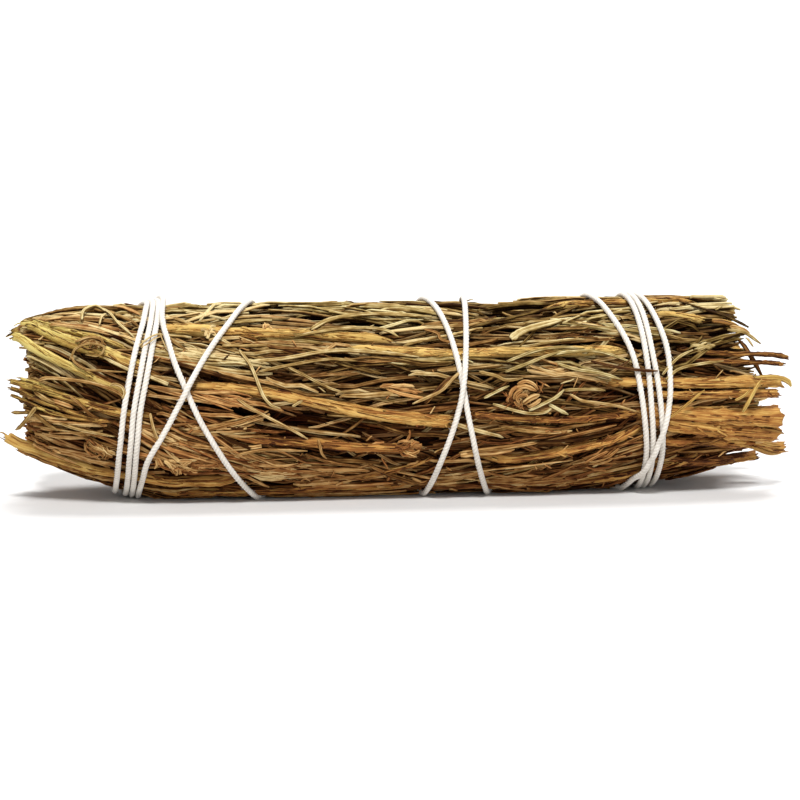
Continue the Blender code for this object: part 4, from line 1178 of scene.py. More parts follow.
# %% Landmark clumps
Clump = namedtuple(
    "Clump", "sprig x turn spread count length width toward lean fan curl lift tint warmth"
)
CLUMPS = tuple(Clump(*row) for row in (
    # inside the dried bud, and red claws that point out of it
    ("front_4", 29.8, 81.5, (2.2, 1.8), 22, 3.0, 0.9, 1, -10, 55, 0.30, 1.5, 0.55, 0.8),
    ("front_4", 28.2, 84.5, (1.0, 1.2), 16, 2.8, 0.36, -1, -20, 50, 0.25, 2.0, 0.36, 1.0),
    ("front_4", 30.5, 86.0, (1.8, 0.8), 10, 2.2, 0.36, 1, 60, 35, 0.25, 1.8, 0.38, 1.0),
    ("front_4", 35.2, 78.5, (0.4, 1.2), 6, 2.0, 0.45, 1, 10, 45, 0.22, 1.6, 0.6, 0.9),
    ("front_4", 29.6, 80.5, (1.5, 2.2), 15, 2.6, 1.1, 1, 30, 60, 0.35, 2.4, 0.7, 0.75),
    # a gold pleated clump, with a red-brown fan behind it
    ("front_7", -65.5, 119.0, (3.6, 0.6), 15, 4.0, 1.25, 1, 48, 22, 0.22, 2.1, 0.84, 0.85),
    ("front_7", -62.5, 121.0, (3.4, 0.6), 14, 3.4, 1.15, 1, 12, 30, 0.28, 1.9, 0.68, 0.85),
    ("front_7", -59.5, 121.5, (1.0, 1.3), 12, 7.5, 0.8, 1, 4, 12, 0.12, 1.5, 0.45, 1.0),
    # a crumpled ball of leaves near the left end
    ("front_7", -86.8, 119.0, (1.3, 1.3), 10, 5.6, 1.0, 1, 22, 22, 0.55, 1.7, 0.55, 0.8),
    ("front_7", -81.6, 121.0, (1.2, 1.2), 10, 5.0, 0.9, -1, -14, 24, 0.6, 1.7, 0.48, 0.75),
    ("front_7", -84.4, 117.0, (2.6, 0.6), 7, 4.6, 1.1, 1, 35, 25, 0.45, 2.0, 0.72, 0.6),
    # fans of orange and tan needles
    ("front_5", -59.0, 77.5, (1.6, 1.0), 13, 17.0, 0.85, 1, 12, 8, 0.08, 1.5, 0.68, 1.0),
    ("front_6", -62.0, 100.0, (1.4, 1.2), 10, 20.0, 1.1, 1, -9, 4, 0.05, 1.4, 0.7, 0.62),
    ("front_7", -44.0, 122.5, (1.6, 1.4), 14, 16.0, 0.95, 1, 3, 8, 0.1, 1.4, 0.66, 0.82),
    ("under_1", -43.3, 127.0, (1.2, 1.2), 9, 10.5, 1.35, 1, 2, 7, 0.08, 1.6, 0.9, 0.55),
    ("front_4", -7.5, 75.0, (1.6, 0.7), 7, 10.0, 1.15, 1, 12, 6, 0.08, 1.5, 0.66, 0.90),
    ("front_7", -2.0, 111.0, (1.3, 1.3), 16, 4.5, 1.1, 1, 0, 26, 0.3, 1.5, 0.58, 0.9),
    ("front_8", 50.0, 126.0, (2.2, 2.0), 14, 8.0, 0.95, 1, -20, 18, 0.12, 1.4, 0.52, 0.95),
    ("front_3", 79.0, 58.0, (1.1, 1.1), 9, 6.0, 1.05, 1, -14, 14, 0.15, 1.6, 0.66, 0.1),
    # scaly bits and grains on the stems
    ("front_1", -54.2, 37.5, (0.6, 0.5), 10, 2.0, 0.85, 1, 20, 60, 0.3, 2.2, 0.95, 0.45),
    ("front_1", -38.2, 36.5, (0.9, 0.5), 10, 2.2, 0.75, 1, 0, 50, 0.3, 2.2, 0.82, 0.75),
    ("front_2", -87.0, 45.5, (2.4, 1.4), 18, 3.8, 0.95, 1, 20, 42, 0.35, 1.7, 0.55, 0.5),
    # the back and the underside
    ("back_3", -35.0, 258.0, (1.6, 1.5), 16, 6.0, 1.2, 1, 8, 32, 0.32, 1.4, 0.6, 0.8),
    ("back_2", 20.0, 233.0, (0.9, 0.9), 22, 4.4, 0.8, -1, 0, 55, 0.35, 1.7, 0.75, 0.85),
    ("under_4", 48.0, 196.0, (1.8, 1.8), 12, 9.0, 1.0, 1, 8, 16, 0.15, 0.6, 0.6, 0.8),
))


# %% Leaves of a clump
def clump_leaves(draw, clump):
    count = clump.count
    x = (clump.x + draw.uniform(-1, 1, count) * clump.spread[0]) * MM
    turn = clump.turn + draw.uniform(-1, 1, count) * clump.spread[1] * MM * DEGREES_PER_METRE
    lean = np.radians(clump.lean + draw.normal(0, clump.fan, count))
    length = clump.length * MM * draw.uniform(0.7, 1.2, count)
    end_x = x + clump.toward * length * np.cos(lean)
    end_turn = turn + length * np.sin(lean) * DEGREES_PER_METRE
    bow = draw.normal(0, clump.curl, count) * length
    middle_x = (x + end_x) / 2 - bow * np.sin(lean)
    middle_turn = (turn + end_turn) / 2 + bow * np.cos(lean) * DEGREES_PER_METRE
    raised = clump.lift * MM * draw.uniform(0.3, 1.0, count)
    return Leaves(
        start=placed(x, turn, raised - 1.2 * MM),
        middle=placed(middle_x, middle_turn, raised + 0.8 * MM),
        end=placed(end_x, end_turn, raised - draw.uniform(0, 0.8, count) * MM),
        width=clump.width * MM * draw.uniform(0.7, 1.25, count),
        thick=np.full(count, 0.6 * MM),
        roll=draw.normal(0, 0.45, count),
        twist=draw.normal(0, 0.6, count),
        wave=draw.normal(0, clump.curl, count) * MM,
        tint=np.clip(clump.tint + draw.normal(0, 0.12, count), 0, 1),
        warmth=np.clip(clump.warmth + draw.normal(0, 0.1, count), 0, 1),
        broken=draw.random(count) < 0.2,
    )


print(f"{len(CLUMPS)} clumps")

# %% [markdown]
# ## The heart of a sprig
#
# Under the leaves a sprig is a dense mass of crushed leaves and twigs. Its colour is painted nearly
# black, as the shade between the leaves, and it stops the light from shining through the bundle.
# The frame's own solid has that form, so a copy of it is merged, drawn in under the leaves and
# roughened.

# %% Hearts
HEART_INSET = 2.6 * MM
HEART_END = 84 * MM


def heart_part(draw, node):
    """A copy of a sprig's solid, drawn in from the skin, without its two ends."""
    heart = bmesh.new()
    heart.from_mesh(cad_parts[node].data)
    bmesh.ops.remove_doubles(heart, verts=heart.verts, dist=0.01 * MM)
    for side in (-1, 1):
        everything = list(heart.verts) + list(heart.edges) + list(heart.faces)
        cut = bmesh.ops.bisect_plane(
            heart, geom=everything, plane_co=(side * HEART_END, 0, 0), plane_no=(side, 0, 0), clear_outer=True
        )
        rim = [item for item in cut["geom_cut"] if isinstance(item, bmesh.types.BMEdge)]
        bmesh.ops.contextual_create(heart, geom=rim)
    bmesh.ops.triangulate(heart, faces=heart.faces)
    bmesh.ops.subdivide_edges(heart, edges=heart.edges, cuts=1, use_grid_fill=True)
    points, triangles = points_and_triangles(heart)
    heart.free()
    centre, half_height, half_width = section(points[:, 0])
    from_middle = np.stack((points[:, 1] / half_width, (points[:, 2] - centre) / half_height), axis=-1)
    reach = np.linalg.norm(from_middle, axis=1)
    inset = HEART_INSET * np.clip((reach - 0.62) / 0.3, 0, 1) + draw.uniform(0, 0.5, len(points)) * MM
    scale = 1 - inset / half_width / np.maximum(reach, 0.05)
    points[:, 1] *= scale
    points[:, 2] = np.maximum(centre + (points[:, 2] - centre) * scale, 3 * FLOOR_CLEARANCE)
    count = len(points)
    angle = np.arctan2(from_middle[:, 0], from_middle[:, 1])
    streak = np.stack((angle * half_width, points[:, 0], reach * 0.1), axis=-1)
    ones = np.ones(count)
    return Part(points, triangles, draw.random(count), 0.5 * ones, ones, 0 * ones, streak, PAINTED_SHADE_LITTER)


# %% [markdown]
# ## Brushes at the ends
#
# Seen from the end, the bundle is a brush: every sprig's leaves and twigs stop there, most of them
# broken off, at all depths. So each sprig also gets leaves through the whole depth of its share,
# near both ends, and the sprigs inside get little else, because nothing more of them shows.

# %% End brushes
BRUSH_AREA = 2.1 * MM**2
BRUSH_DEPTHS = (-9.5 * MM, -1.5 * MM)
BRUSH_X = 0.1
SHORTER_INSIDE = 3.0 * MM


def end_brush(draw, turn_at, depths):
    """Leaves between two depths of a sprig's share, stopping at the bundle's two ends.

    turn_at gives the turn at x and a share from -1 to 1 of the way across the sprig.
    """
    deep, shallow = depths
    batches = []
    for side, table in ((-1, LEFT_END), (1, RIGHT_END)):
        end_at = side * BRUSH_X
        width = abs(turn_at(end_at, 1.0) - turn_at(end_at, -1.0)) / DEGREES_PER_METRE
        width *= 1 + (deep + shallow) / 2 / RADIUS
        count = max(8, round(width * (shallow - deep) / BRUSH_AREA))
        raised = draw.uniform(deep, shallow, count)
        across = draw.uniform(-1, 1, count)
        turn = turn_at(end_at, across)
        end_x = end_of_leaves(table, turn) - side * (draw.exponential(SHORTER_INSIDE, count) + 0.5 * MM)
        start_x = end_x - side * draw.uniform(10, 19, count) * MM
        spread = draw.normal(0, 2.6 * MM, count) * DEGREES_PER_METRE
        start = placed(start_x, turn_at(start_x, across), raised - 0.6 * MM)
        end = placed(end_x, turn + spread, raised + draw.normal(0, 0.7 * MM, count))
        batches.append(Leaves(
            start=start, middle=(start + end) / 2 + draw.normal(0, 0.4 * MM, (count, 1)) * (0, 0, 1), end=end,
            width=LEAF_WIDTH * draw.lognormal(0, 0.25, count),
            thick=LEAF_THICKNESS * draw.uniform(0.8, 1.3, count),
            roll=draw.uniform(-np.pi, np.pi, count),
            twist=draw.normal(0, 0.6, count),
            wave=draw.normal(0, 0.6, count) * MM,
            tint=np.clip(draw.normal(0.5, 0.22, count), 0, 1),
            warmth=np.clip(warmth_at(end_x, turn) + draw.normal(0.1, 0.2, count), 0, 1),
            broken=draw.random(count) < 0.6,
        ))
    return Leaves(*(np.concatenate(fields) for fields in zip(*batches)))


print(f"a brush has a leaf for every {BRUSH_AREA / MM**2} square millimetres of each end")

# %% [markdown]
# ## Materials
#
# Dried leaves keep a little olive green on top of the bundle and turn orange-brown where they were
# pressed and bruised. Every leaf carries two numbers from its tuft, tint (dark to pale, raised by
# painted light on top and underneath) and warmth (olive to orange). Its points carry a depth, a
# crease (how far an edge turns under) and a streak: its own coordinates in metres, across and
# along. A material that reads those can give each leaf its own colour, with painted shade deep in
# the bundle and in a dark outline, and grain that runs the right way, and it needs no picture. Wood
# is made the same way with other colours, greener at the top of the left end and with painted
# shade in its cracks, and so is the crushed litter inside, painted nearly black as shade. The
# string is white cotton, with painted shade in its grooves.

# %% Helpers for materials
def new_material(name, roughness, specular=0.3):
    look = bpy.data.materials.new(name)
    look.use_nodes = True
    shader = look.node_tree.nodes["Principled BSDF"]
    shader.inputs["Roughness"].default_value = roughness
    shader.inputs["Specular IOR Level"].default_value = specular
    return look, look.node_tree, shader


def add(tree, kind, **inputs):
    """A node of this kind, with each named input set to a value or linked to a socket."""
    node = tree.nodes.new("ShaderNode" + kind)
    for name, value in inputs.items():
        socket = node.inputs[int(name[1:])] if name[0] == "i" and name[1:].isdigit() else node.inputs[name]
        if isinstance(value, bpy.types.NodeSocket):
            tree.links.new(value, socket)
        else:
            socket.default_value = value
    return node


def attribute(tree, name, output="Fac"):
    node = tree.nodes.new("ShaderNodeAttribute")
    node.attribute_name = name
    return node.outputs[output]


def noise(tree, vector, scale, detail=3.0, roughness=0.55):
    node = add(tree, "TexNoise", Vector=vector, Scale=scale, Detail=detail, Roughness=roughness)
    return node.outputs["Fac"]


def grain(tree, stretch, detail=3.0, roughness=0.55):
    """Noise along the streak coordinates, with its own number of grains in a metre each way."""
    streak = attribute(tree, "streak", "Vector")
    stretched = add(tree, "Mapping", Vector=streak, Scale=stretch).outputs["Vector"]
    return noise(tree, stretched, 1.0, detail, roughness)


# %% More helpers for materials
def ramp(tree, factor, stops):
    node = tree.nodes.new("ShaderNodeValToRGB")
    tree.links.new(factor, node.inputs["Fac"])
    elements = node.color_ramp.elements
    while len(elements) < len(stops):
        elements.new(0.5)
    for element, (position, colour) in zip(elements, stops):
        element.position = position
        element.color = (*colour, 1.0)
    return node.outputs["Color"]


def maths(tree, operation, first, second=0.0, third=0.0, clamp=False):
    node = add(tree, "Math", i0=first, i1=second, i2=third)
    node.operation = operation
    node.use_clamp = clamp
    return node.outputs[0]


def mixed(tree, factor, first, second, blend="MIX"):
    """Two colours mixed by a factor."""
    node = tree.nodes.new("ShaderNodeMix")
    node.data_type = "RGBA"
    node.blend_type = blend
    for socket, value in zip((node.inputs[0], node.inputs[6], node.inputs[7]), (factor, first, second)):
        if isinstance(value, bpy.types.NodeSocket):
            tree.links.new(value, socket)
        else:
            socket.default_value = value
    return node.outputs[2]


def bumped(tree, shader, height, distance, strength):
    node = add(tree, "Bump", Height=height, Strength=strength, Distance=distance)
    tree.links.new(node.outputs["Normal"], shader.inputs["Normal"])


# %% Leaf, bark and litter
OLIVE = (
    (0.0, (0.026, 0.010, 0.002)), (0.35, (0.150, 0.088, 0.021)),
    (0.65, (0.350, 0.248, 0.087)), (1.0, (0.68, 0.58, 0.31)),
)
ORANGE = (
    (0.0, (0.036, 0.009, 0.002)), (0.35, (0.215, 0.074, 0.021)),
    (0.65, (0.430, 0.197, 0.061)), (1.0, (0.68, 0.42, 0.16)),
)
WOOD = (
    (0.0, (0.68, 0.43, 0.13)), (0.3, (0.50, 0.250, 0.060)),
    (0.6, (0.33, 0.125, 0.030)), (1.0, (0.055, 0.014, 0.003)),
)
GREEN_WOOD = (
    (0.0, (0.62, 0.50, 0.16)), (0.3, (0.48, 0.330, 0.080)),
    (0.6, (0.27, 0.150, 0.032)), (1.0, (0.050, 0.018, 0.003)),
)
# Painted shade: deep places are multiplied by this dark red-brown.
PAINTED_DEEP_SHADE = (0.17, 0.070, 0.032, 1.0)
# How much painted shade darkens leaf edges and the cracks of stems.
PAINTED_LEAF_EDGE_SHADE = 0.72
PAINTED_BARK_CRACK_SHADE = 0.6


def dried(look, tree, shader, shade, cool, warm, fine, rough):
    """Colours a leaf or a stem by its shade, from two ramps that its warmth mixes.

    Red-brown painted shade darkens what lies deep between the leaves.
    """
    colour = mixed(tree, attribute(tree, "warmth"), ramp(tree, shade, cool), ramp(tree, shade, warm))
    # Painted shade: what lies deep is multiplied by a dark red-brown.
    colour = mixed(tree, attribute(tree, "depth"), colour, PAINTED_DEEP_SHADE, "MULTIPLY")
    tree.links.new(colour, shader.inputs["Base Color"])
    tree.links.new(maths(tree, "MULTIPLY_ADD", fine, *rough), shader.inputs["Roughness"])
    return look


def leaf_material():
    look, tree, shader = new_material("dried_leaf", 0.7, 0.04)
    fine = grain(tree, (3600.0, 160.0, 900.0))
    blotch = grain(tree, (600.0, 300.0, 900.0), 2.0)
    crease = attribute(tree, "crease")
    shade = maths(tree, "ADD", attribute(tree, "tint"), maths(tree, "MULTIPLY_ADD", fine, 1.2, -0.55))
    shade = maths(tree, "ADD", shade, maths(tree, "MULTIPLY_ADD", blotch, 0.9, -0.42))
    # Painted shade: the edges, groove and underside of a leaf are coloured darker by their crease.
    outline = maths(tree, "MULTIPLY", crease, crease)
    shade = maths(tree, "MULTIPLY_ADD", outline, -PAINTED_LEAF_EDGE_SHADE, shade, clamp=True)
    bumped(tree, shader, fine, 0.00022, 0.7)
    return dried(look, tree, shader, shade, OLIVE, ORANGE, fine, (0.35, 0.5))


def bark_material():
    look, tree, shader = new_material("bark_and_wood", 0.6, 0.10)
    fibre = grain(tree, (3400.0, 75.0, 700.0), 4.0, 0.7)
    patch = grain(tree, (520.0, 190.0, 700.0))
    shade = maths(tree, "ADD", attribute(tree, "tint"), maths(tree, "MULTIPLY_ADD", fibre, -2.2, 1.03))
    shade = maths(tree, "ADD", shade, maths(tree, "MULTIPLY_ADD", patch, 1.1, -0.58))
    # Painted shade: cracks and flute valleys are coloured darker.
    shade = maths(tree, "MULTIPLY_ADD", attribute(tree, "crease"), PAINTED_BARK_CRACK_SHADE, shade, clamp=True)
    bumped(tree, shader, fibre, 0.00035, 0.9)
    return dried(look, tree, shader, shade, GREEN_WOOD, WOOD, fibre, (0.3, 0.42))


def painted_shade_litter_material():
    look, tree, shader = new_material("crushed_litter_painted_shade", 0.9, 0.05)
    strands = grain(tree, (1500.0, 160.0, 50.0))
    # Painted shade: the crushed litter is coloured nearly black, as the shade deep between the leaves.
    stops = ((0.35, (0.007, 0.002, 0.001)), (0.6, (0.028, 0.010, 0.003)), (0.85, (0.09, 0.040, 0.013)))
    tree.links.new(ramp(tree, strands, stops), shader.inputs["Base Color"])
    bumped(tree, shader, strands, 0.0008, 1.0)
    return look


# The painted shade multiplies the deepest colours by this red-brown.
print("dust multiplies the deepest colours by", PAINTED_DEEP_SHADE[:3])

# %% Cotton
def cotton_material():
    """White cotton, with painted shade in the grooves between the plies."""
    look, tree, shader = new_material("white_cotton", 0.85, 0.2)
    coordinates = tree.nodes.new("ShaderNodeTexCoord").outputs["Object"]
    fibre = noise(tree, coordinates, 5200.0)
    soil = noise(tree, coordinates, 260.0, 2.0)
    shade = maths(tree, "MULTIPLY_ADD", fibre, 0.5, maths(tree, "MULTIPLY", soil, 0.3))
    # Painted shade: the grooves between the plies are coloured darker.
    shade = maths(tree, "MULTIPLY_ADD", attribute(tree, "crease"), -0.22, maths(tree, "ADD", shade, 0.22))
    stops = ((0.05, (0.34, 0.30, 0.25)), (0.35, (0.66, 0.61, 0.53)), (0.62, (0.86, 0.81, 0.74)))
    tree.links.new(ramp(tree, shade, stops), shader.inputs["Base Color"])
    shader.inputs["Sheen Weight"].default_value = 0.25
    bumped(tree, shader, fibre, 0.00012, 0.6)
    return look


LOOKS = (leaf_material(), bark_material(), painted_shade_litter_material(), cotton_material())
print("materials:", ", ".join(look.name for look in LOOKS))

# %% [markdown]
# ## Joining a sprig
#
# All the parts of one sprig become one mesh, as the sprig grew: its heart, its stems, their
# splinters and its leaves. The attributes that the materials read are stored on its points.

# %% One mesh from many parts
def mesh_from(name, parts):
    """One mesh with the points, triangles, materials and attributes of all the parts."""
    points = np.concatenate([part.points for part in parts])
    offsets = np.cumsum([0] + [len(part.points) for part in parts[:-1]])
    triangles = np.concatenate([part.triangles + offset for part, offset in zip(parts, offsets)])
    used = sorted({part.look for part in parts})
    slots = np.concatenate([np.full(len(part.triangles), used.index(part.look)) for part in parts])
    mesh = bpy.data.meshes.new(name)
    mesh.vertices.add(len(points))
    mesh.vertices.foreach_set("co", points.astype(np.float32).ravel())
    mesh.loops.add(triangles.size)
    mesh.loops.foreach_set("vertex_index", triangles.astype(np.int32).ravel())
    mesh.polygons.add(len(triangles))
    mesh.polygons.foreach_set("loop_start", np.arange(0, triangles.size, 3, dtype=np.int32))
    mesh.polygons.foreach_set("material_index", slots.astype(np.int32))
    for field in ("tint", "warmth", "depth", "crease"):
        values = np.concatenate([getattr(part, field) for part in parts])
        mesh.attributes.new(field, "FLOAT", "POINT").data.foreach_set("value", values.astype(np.float32))
    streak = np.concatenate([part.streak for part in parts]).astype(np.float32)
    mesh.attributes.new("streak", "FLOAT_VECTOR", "POINT").data.foreach_set("vector", streak.ravel())
    for look in used:
        mesh.materials.append(LOOKS[look])
    mesh.update(calc_edges=True)
    mesh.validate()
    mesh.shade_smooth()
    return mesh


def new_object(name, data):
    """An object in the scene, at the origin, that shows this data."""
    made = bpy.data.objects.new(name, data)
    bpy.context.scene.collection.objects.link(made)
    return made


def show_piece(name, parts, slot, *nodes):
    """Puts a piece in the scene, riding on the one body and standing for these nodes."""
    piece = new_object(name, mesh_from(name, parts))
    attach(piece, "root")
    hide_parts(*nodes)
    return piece


# %% An outer sprig
def whole_stem(draw, line, tone, torn):
    """A stem's body and the slivers on it."""
    return [stem_part(draw, line, tone, torn), bent(PLAIN_LEAF, fibres(draw, line, tone, torn), BARK)]


def outer_sprig(index):
    sprig = SPRIGS[index]
    draw = np.random.default_rng(1000 + index)
    parts = [heart_part(draw, "sprig_" + sprig.name)]
    for stem, line in zip(STEMS, STEM_LINES):
        if stem.sprig == sprig.name:
            parts += whole_stem(draw, line, stem.tone, stem.torn)
    parts += [strand_part(draw, strand) for strand in STRANDS if strand.sprig == sprig.name]
    for layer in LAYERS:
        parts += grow_layer(draw, index, layer)
    for clump in CLUMPS:
        if clump.sprig == sprig.name:
            parts += bent_leaves(clump_leaves(draw, clump))
    parts.append(bent(PLAIN_LEAF, crumbs(draw, index)))

    def turn_at(x, share):
        return course_turn(sprig.name, x) + share * half_cell(index, x)

    parts.append(bent(PLAIN_LEAF, end_brush(draw, turn_at, BRUSH_DEPTHS)))
    return show_piece("dried_sprig_" + sprig.name, parts, "dried_sprig", "sprig_" + sprig.name)


# %% Dress the outer sprigs
dressed = [outer_sprig(index) for index in range(len(SPRIGS))]
print(f"{len(dressed)} sprigs, {sum(len(piece.data.polygons) for piece in dressed)} triangles")

# %% [markdown]
# ## The sprigs inside
#
# Seven sprigs fill the middle round one in the very centre. They show only at the two ends, so each
# has its heart, a brush of leaves at both ends, and one cut stem that comes out of the brush, to
# the left on every second sprig and to the right on the others.

# %% Dress the inner sprigs
INNER_SPRIGS = 7
INNER_TWIST = 12 / (110 * MM)
INNER_DEPTHS = (-18.0 * MM, -9.8 * MM)
CENTRE_DEPTHS = (-23.5 * MM, -18.5 * MM)
INNER_STEM_FROM = 70 * MM
INNER_STEM_STEP = 1.2 * MM
INNER_STEM_TONE = 0.45


def inner_stem(draw, side, reach_out, turn_at, raised, radii):
    """The line of a stem that comes out of the brush at one end."""
    x = np.sort(np.arange(INNER_STEM_FROM, reach_out, INNER_STEM_STEP) * side)
    turn = turn_at(x, 0.0) + draw.normal(0, 1)
    radius = np.linspace(*radii, len(x)) * MM
    return x, turn, radius, np.full(len(x), raised)


def inner_sprig(name, seed, side, turn_at, depths):
    draw = np.random.default_rng(seed)
    parts = [heart_part(draw, "sprig_" + name)]
    torn = (int(side < 0), int(side > 0))
    radii = (1.2, 1.6) if side > 0 else (1.6, 1.2)
    line = inner_stem(draw, side, draw.uniform(98, 103) * MM, turn_at, sum(depths) / 2, radii)
    parts += whole_stem(draw, line, INNER_STEM_TONE, torn)
    for twig_side in (-1, 1):
        reach_out = draw.uniform(94, 101) * MM
        twig = inner_stem(draw, twig_side, reach_out, turn_at, draw.uniform(*depths), (0.6, 0.7))
        twig = twig[0], twig[1] + draw.uniform(-12, 12), twig[2], twig[3]
        tone = draw.uniform(0.3, 0.8)
        parts.append(stem_part(draw, twig, tone, (int(twig_side < 0), int(twig_side > 0))))
    parts.append(bent(PLAIN_LEAF, end_brush(draw, turn_at, depths)))
    return show_piece("dried_sprig_" + name, parts, "dried_sprig", "sprig_" + name)


for index in range(INNER_SPRIGS):
    middle_turn = index * 360 / INNER_SPRIGS
    dressed.append(inner_sprig(
        f"inner_{index + 1}", 1100 + index, -1 if index % 2 else 1,
        lambda x, share: middle_turn + INNER_TWIST * x + share * 180 / INNER_SPRIGS, INNER_DEPTHS
    ))
dressed.append(inner_sprig(
    "centre", 1200, 1, lambda x, share: 180.0 * share + 0 * x, CENTRE_DEPTHS
))
print(f"{len(dressed)} sprigs, {sum(len(piece.data.polygons) for piece in dressed)} triangles")

# %% [markdown]
# ## The cotton string
#
# The string is three cotton plies twisted together, about 1.5 mm thick. A curve follows its route,
# and its bevel is a small outline with three lobes. Tilting the curve a little more at each point
# turns the lobes round the string, which is what twist is. The knot is the same string drawn up
# in a small overhand knot, and its two cut tails lie on the bundle beside it.

# %% Twisted string
PLIES = 3
TWIST_PITCH = 3.4 * MM
PLY_POINTS = 3
STRING_STEP = 0.38 * MM
PLY_CREST, PLY_GROOVE = 1.11, 0.97
STRING_RADIUS = STRING_DIAMETER / 2


def even_line(line, step):
    """The line's points spaced evenly, and how far along it each of them is."""
    travelled = travelled_along(line)
    even = np.linspace(0, travelled[-1], round(travelled[-1] / step))
    return np.stack([np.interp(even, travelled, line[:, axis]) for axis in range(3)], axis=-1), even


def ply_outline():
    """The string's outline: a rounded bulge for each ply."""
    outline = bpy.data.curves.new("ply_outline", "CURVE")
    outline.dimensions = "2D"
    run = outline.splines.new("POLY")
    count = PLIES * PLY_POINTS
    run.points.add(count - 1)
    for index, point in enumerate(run.points):
        angle = 2 * math.pi * index / count
        radius = STRING_RADIUS * (PLY_GROOVE if index % PLY_POINTS else PLY_CREST)
        point.co = (radius * math.cos(angle), radius * math.sin(angle), 0.0, 1.0)
    run.use_cyclic_u = True
    return new_object("ply_outline", outline)


def twisted_string(line):
    """A twisted string along a line, as mesh data."""
    points, travelled = even_line(line, STRING_STEP)
    curve = bpy.data.curves.new("string_guide", "CURVE")
    curve.dimensions = "3D"
    curve.twist_mode = "MINIMUM"
    curve.use_fill_caps = True
    outline = ply_outline()
    curve.bevel_mode = "OBJECT"
    curve.bevel_object = outline
    run = curve.splines.new("POLY")
    run.points.add(len(points) - 1)
    run.points.foreach_set("co", np.concatenate((points, np.ones((len(points), 1))), axis=1).ravel())
    run.points.foreach_set("tilt", travelled / TWIST_PITCH * 2 * np.pi)
    guide = new_object("string_guide", curve)
    mesh = bpy.data.meshes.new_from_object(guide.evaluated_get(bpy.context.evaluated_depsgraph_get()))
    bpy.data.objects.remove(guide)
    bpy.data.objects.remove(outline)
    shape = bmesh.new()
    shape.from_mesh(mesh)
    bpy.data.meshes.remove(mesh)
    bmesh.ops.remove_doubles(shape, verts=shape.verts, dist=0.002 * MM)
    bmesh.ops.recalc_face_normals(shape, faces=shape.faces)
    skin, triangles = points_and_triangles(shape)
    skin[:, 2] = np.maximum(skin[:, 2], FLOOR_CLEARANCE)
    shape.free()
    nearest = search_tree(points)
    from_middle = np.array([nearest.find(point)[2] for point in skin]) / STRING_RADIUS
    # The crease marks the grooves between the plies, where the cotton is painted darker as shade.
    crease = np.clip((PLY_CREST - from_middle) / (PLY_CREST - PLY_GROOVE), 0, 1)
    none = np.zeros(len(skin))
    return Part(skin, triangles, none, none, none, crease, skin, COTTON)


# %% Knot and tails
KNOT_X, KNOT_TURN = -74.6 * MM, 302.0
KNOT_HEIGHT = STRING_DIAMETER + STRING_CLEARANCE + 0.9 * MM
KNOT_SCALE = 0.60 * MM
TAILS = (
    ((-74.7, 304), (-76.5, 309), (-78.6, 315), (-79.9, 322), (-80.2, 328)),
    ((-74.9, 300), (-77.3, 296), (-79.6, 290), (-81.6, 286), (-83.8, 284)),
)
TAIL_RISES = (1.3, 0.9, 0.2, 0.0, 0.0)


def knot_line():
    """An overhand knot drawn tight: a trefoil that lies on the windings."""
    t = np.linspace(0, 2 * np.pi, 90)
    along = np.array((1.0, 0.0, 0.0))
    out = outward(np.array(KNOT_X), np.array(KNOT_TURN))
    around = np.cross(out, along)
    shape = (
        (np.sin(t) + 2 * np.sin(2 * t))[:, None] * along
        + 0.75 * (np.cos(t) - 2 * np.cos(2 * t))[:, None] * around
        - 1.3 * np.sin(3 * t)[:, None] * out
    )
    return on_bundle(KNOT_X, KNOT_TURN, KNOT_HEIGHT) + KNOT_SCALE * shape


def tail_line(tail):
    places = through([(x, turn, rise) for (x, turn), rise in zip(tail, TAIL_RISES)])
    return on_bundle(places[:, 0] * MM, places[:, 1], STRING_RAISED + places[:, 2] * MM)


TAIL_LINES = [tail_line(tail) for tail in TAILS]
tail_lengths = [round(float(np.linalg.norm(line[-1] - line[0])) / MM) for line in TAIL_LINES]
print("the tails are", tail_lengths, "mm long")

# %% [markdown]
# ## Cotton fuzz
#
# Cotton string is spun from short fibres, and some stand off it everywhere. Where it was cut, the
# plies come apart in a small brush. Both are hairs: copies of the three-sided template.

# %% Fuzz and frayed ends
FUZZ_PER_METRE = 620
FRAYED = 26


def hairs(draw, start, reach, bend, width):
    """Hairs from each start, as far as its reach, bent a little on the way."""
    share = HAIR.stations[None, :, None]
    line = start[:, None] + reach[:, None] * share + bend[:, None] * (share * (1 - share))
    side, up = frames(line, draw.normal(0, 1, (len(start), 1, 3)))
    points, triangles, _ = laid_out(HAIR, line, side, up, width, width)
    points = points.reshape(-1, 3)
    none = np.zeros(len(points))
    return Part(points, triangles.reshape(-1, 3), none, none, none, none, points, COTTON)


def fuzz(draw, line):
    """Short fibres that stand off a string."""
    points, travelled = even_line(line, 0.5 * MM)
    count = round(travelled[-1] * FUZZ_PER_METRE)
    at = draw.integers(1, len(points) - 1, count)
    along = unit(points[at + 1] - points[at - 1])
    out = unit(np.cross(along, draw.normal(0, 1, (count, 3))))
    start = points[at] + out * STRING_RADIUS * 0.9
    length = draw.uniform(0.4, 1.5, (count, 1)) * MM
    reach = (out * draw.uniform(0.15, 0.6, (count, 1)) + along * draw.uniform(-1, 1, (count, 1))) * length
    bend = draw.normal(0, 0.5, (count, 3)) * length
    return hairs(draw, start, reach, bend, draw.uniform(0.05, 0.11, count) * MM)


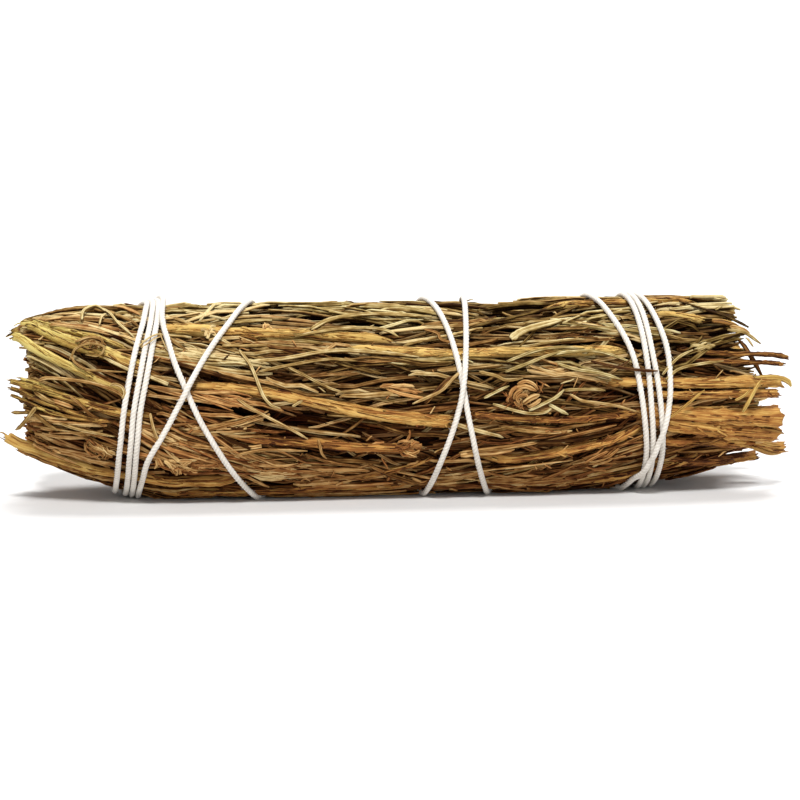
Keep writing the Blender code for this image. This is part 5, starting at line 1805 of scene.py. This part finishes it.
def frayed_end(draw, line):
    """The brush of fibres at a cut end."""
    toward = unit(line[-1] - line[-3])
    start = line[-1] + draw.normal(0, 0.25, (FRAYED, 3)) * MM - toward * 0.3 * MM
    length = draw.uniform(1.2, 2.6, (FRAYED, 1)) * MM
    reach = unit(toward + draw.normal(0, 0.28, (FRAYED, 3))) * length
    bend = draw.normal(0, 0.4, (FRAYED, 3)) * length
    return hairs(draw, start, reach, bend, draw.uniform(0.10, 0.20, FRAYED) * MM)


draw = np.random.default_rng(1300)
string_lines = [STRING_LINE, knot_line()] + TAIL_LINES
string_parts = [twisted_string(line) for line in string_lines]
string_parts += [fuzz(draw, line) for line in string_lines]
string_parts += [frayed_end(draw, line) for line in TAIL_LINES]
string = show_piece("cotton_string", string_parts, "cotton_string", "binding_string")
print(f"the string has {len(string.data.polygons)} triangles")

# %% [markdown]
# ## Floor, light and camera
#
# The bundle lies on a plain white surface in soft light from above, so the leaves are bright on
# top and deep brown between. The surface curves up far behind, so that no horizon shows.

# %% Floor
FLOOR_SIZE = 30.0
WALL_RISE = 22.0


def studio_floor():
    sweep = bmesh.new()
    bmesh.ops.create_grid(sweep, x_segments=1, y_segments=1, size=FLOOR_SIZE)
    back = [edge for edge in sweep.edges if all(vert.co.y > 0 for vert in edge.verts)]
    grown = bmesh.ops.extrude_edge_only(sweep, edges=back)["geom"]
    wall = [item for item in grown if isinstance(item, bmesh.types.BMVert)]
    bmesh.ops.translate(sweep, vec=(0, FLOOR_SIZE, WALL_RISE), verts=wall)
    bmesh.ops.recalc_face_normals(sweep, faces=sweep.faces)
    mesh = bpy.data.meshes.new("studio_floor")
    sweep.to_mesh(mesh)
    sweep.free()
    floor = new_object("studio_floor", mesh)
    look, _, shader = new_material("white_sweep", 0.9, 0.1)
    shader.inputs["Base Color"].default_value = (0.75, 0.745, 0.74, 1.0)
    mesh.materials.append(look)
    floor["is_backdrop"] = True


studio_floor()
print(f"the floor is {2 * FLOOR_SIZE:.0f} m wide")

# %% Lights
def soft_sun(name, toward, spread, strength):
    """A broad, even light from one direction, soft-edged by its spread in degrees."""
    light = bpy.data.lights.new(name, "SUN")
    light.angle = math.radians(spread)
    light.energy = strength
    lamp = new_object(name, light)
    lamp.rotation_euler = Vector(toward).to_track_quat("Z", "Y").to_euler()


soft_sun("key", (-0.14, -0.68, 1.0), 13.0, 2.8)
soft_sun("top", (0.15, 0.45, 1.10), 30.0, 2.5)
soft_sun("fill", (0.10, -1.0, 0.22), 50.0, 0.6)
world = bpy.data.worlds.new("studio_world")
world.use_nodes = True
world.node_tree.nodes["Background"].inputs["Color"].default_value = (1.0, 1.0, 1.0, 1.0)
world.node_tree.nodes["Background"].inputs["Strength"].default_value = 0.28
bpy.context.scene.world = world
bpy.context.scene.view_settings.view_transform = "Standard"

# %% Camera
AZIMUTH, ELEVATION, DISTANCE = math.radians(-8.0), math.radians(7.0), 0.84
TARGET = Vector((0.0, 0.0, 0.0275))
camera_data = bpy.data.cameras.new("camera")
camera_data.sensor_width = 36.0
camera_data.lens = 134.67
camera_data.shift_x = 0.0052
camera_data.shift_y = -0.00995
camera_data.clip_start = 0.01
camera = new_object("camera", camera_data)
back = Vector((
    math.sin(AZIMUTH) * math.cos(ELEVATION),
    -math.cos(AZIMUTH) * math.cos(ELEVATION),
    math.sin(ELEVATION),
))
camera.location = TARGET + DISTANCE * back
camera.rotation_euler = (-back).to_track_quat("-Z", "Y").to_euler()
bpy.context.scene.camera = camera

VISUAL_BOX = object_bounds()
for name, box in (("frame", CAD_BOX), ("dressed", VISUAL_BOX)):
    print(name, [[round(value / MM, 2) for value in corner] for corner in box])
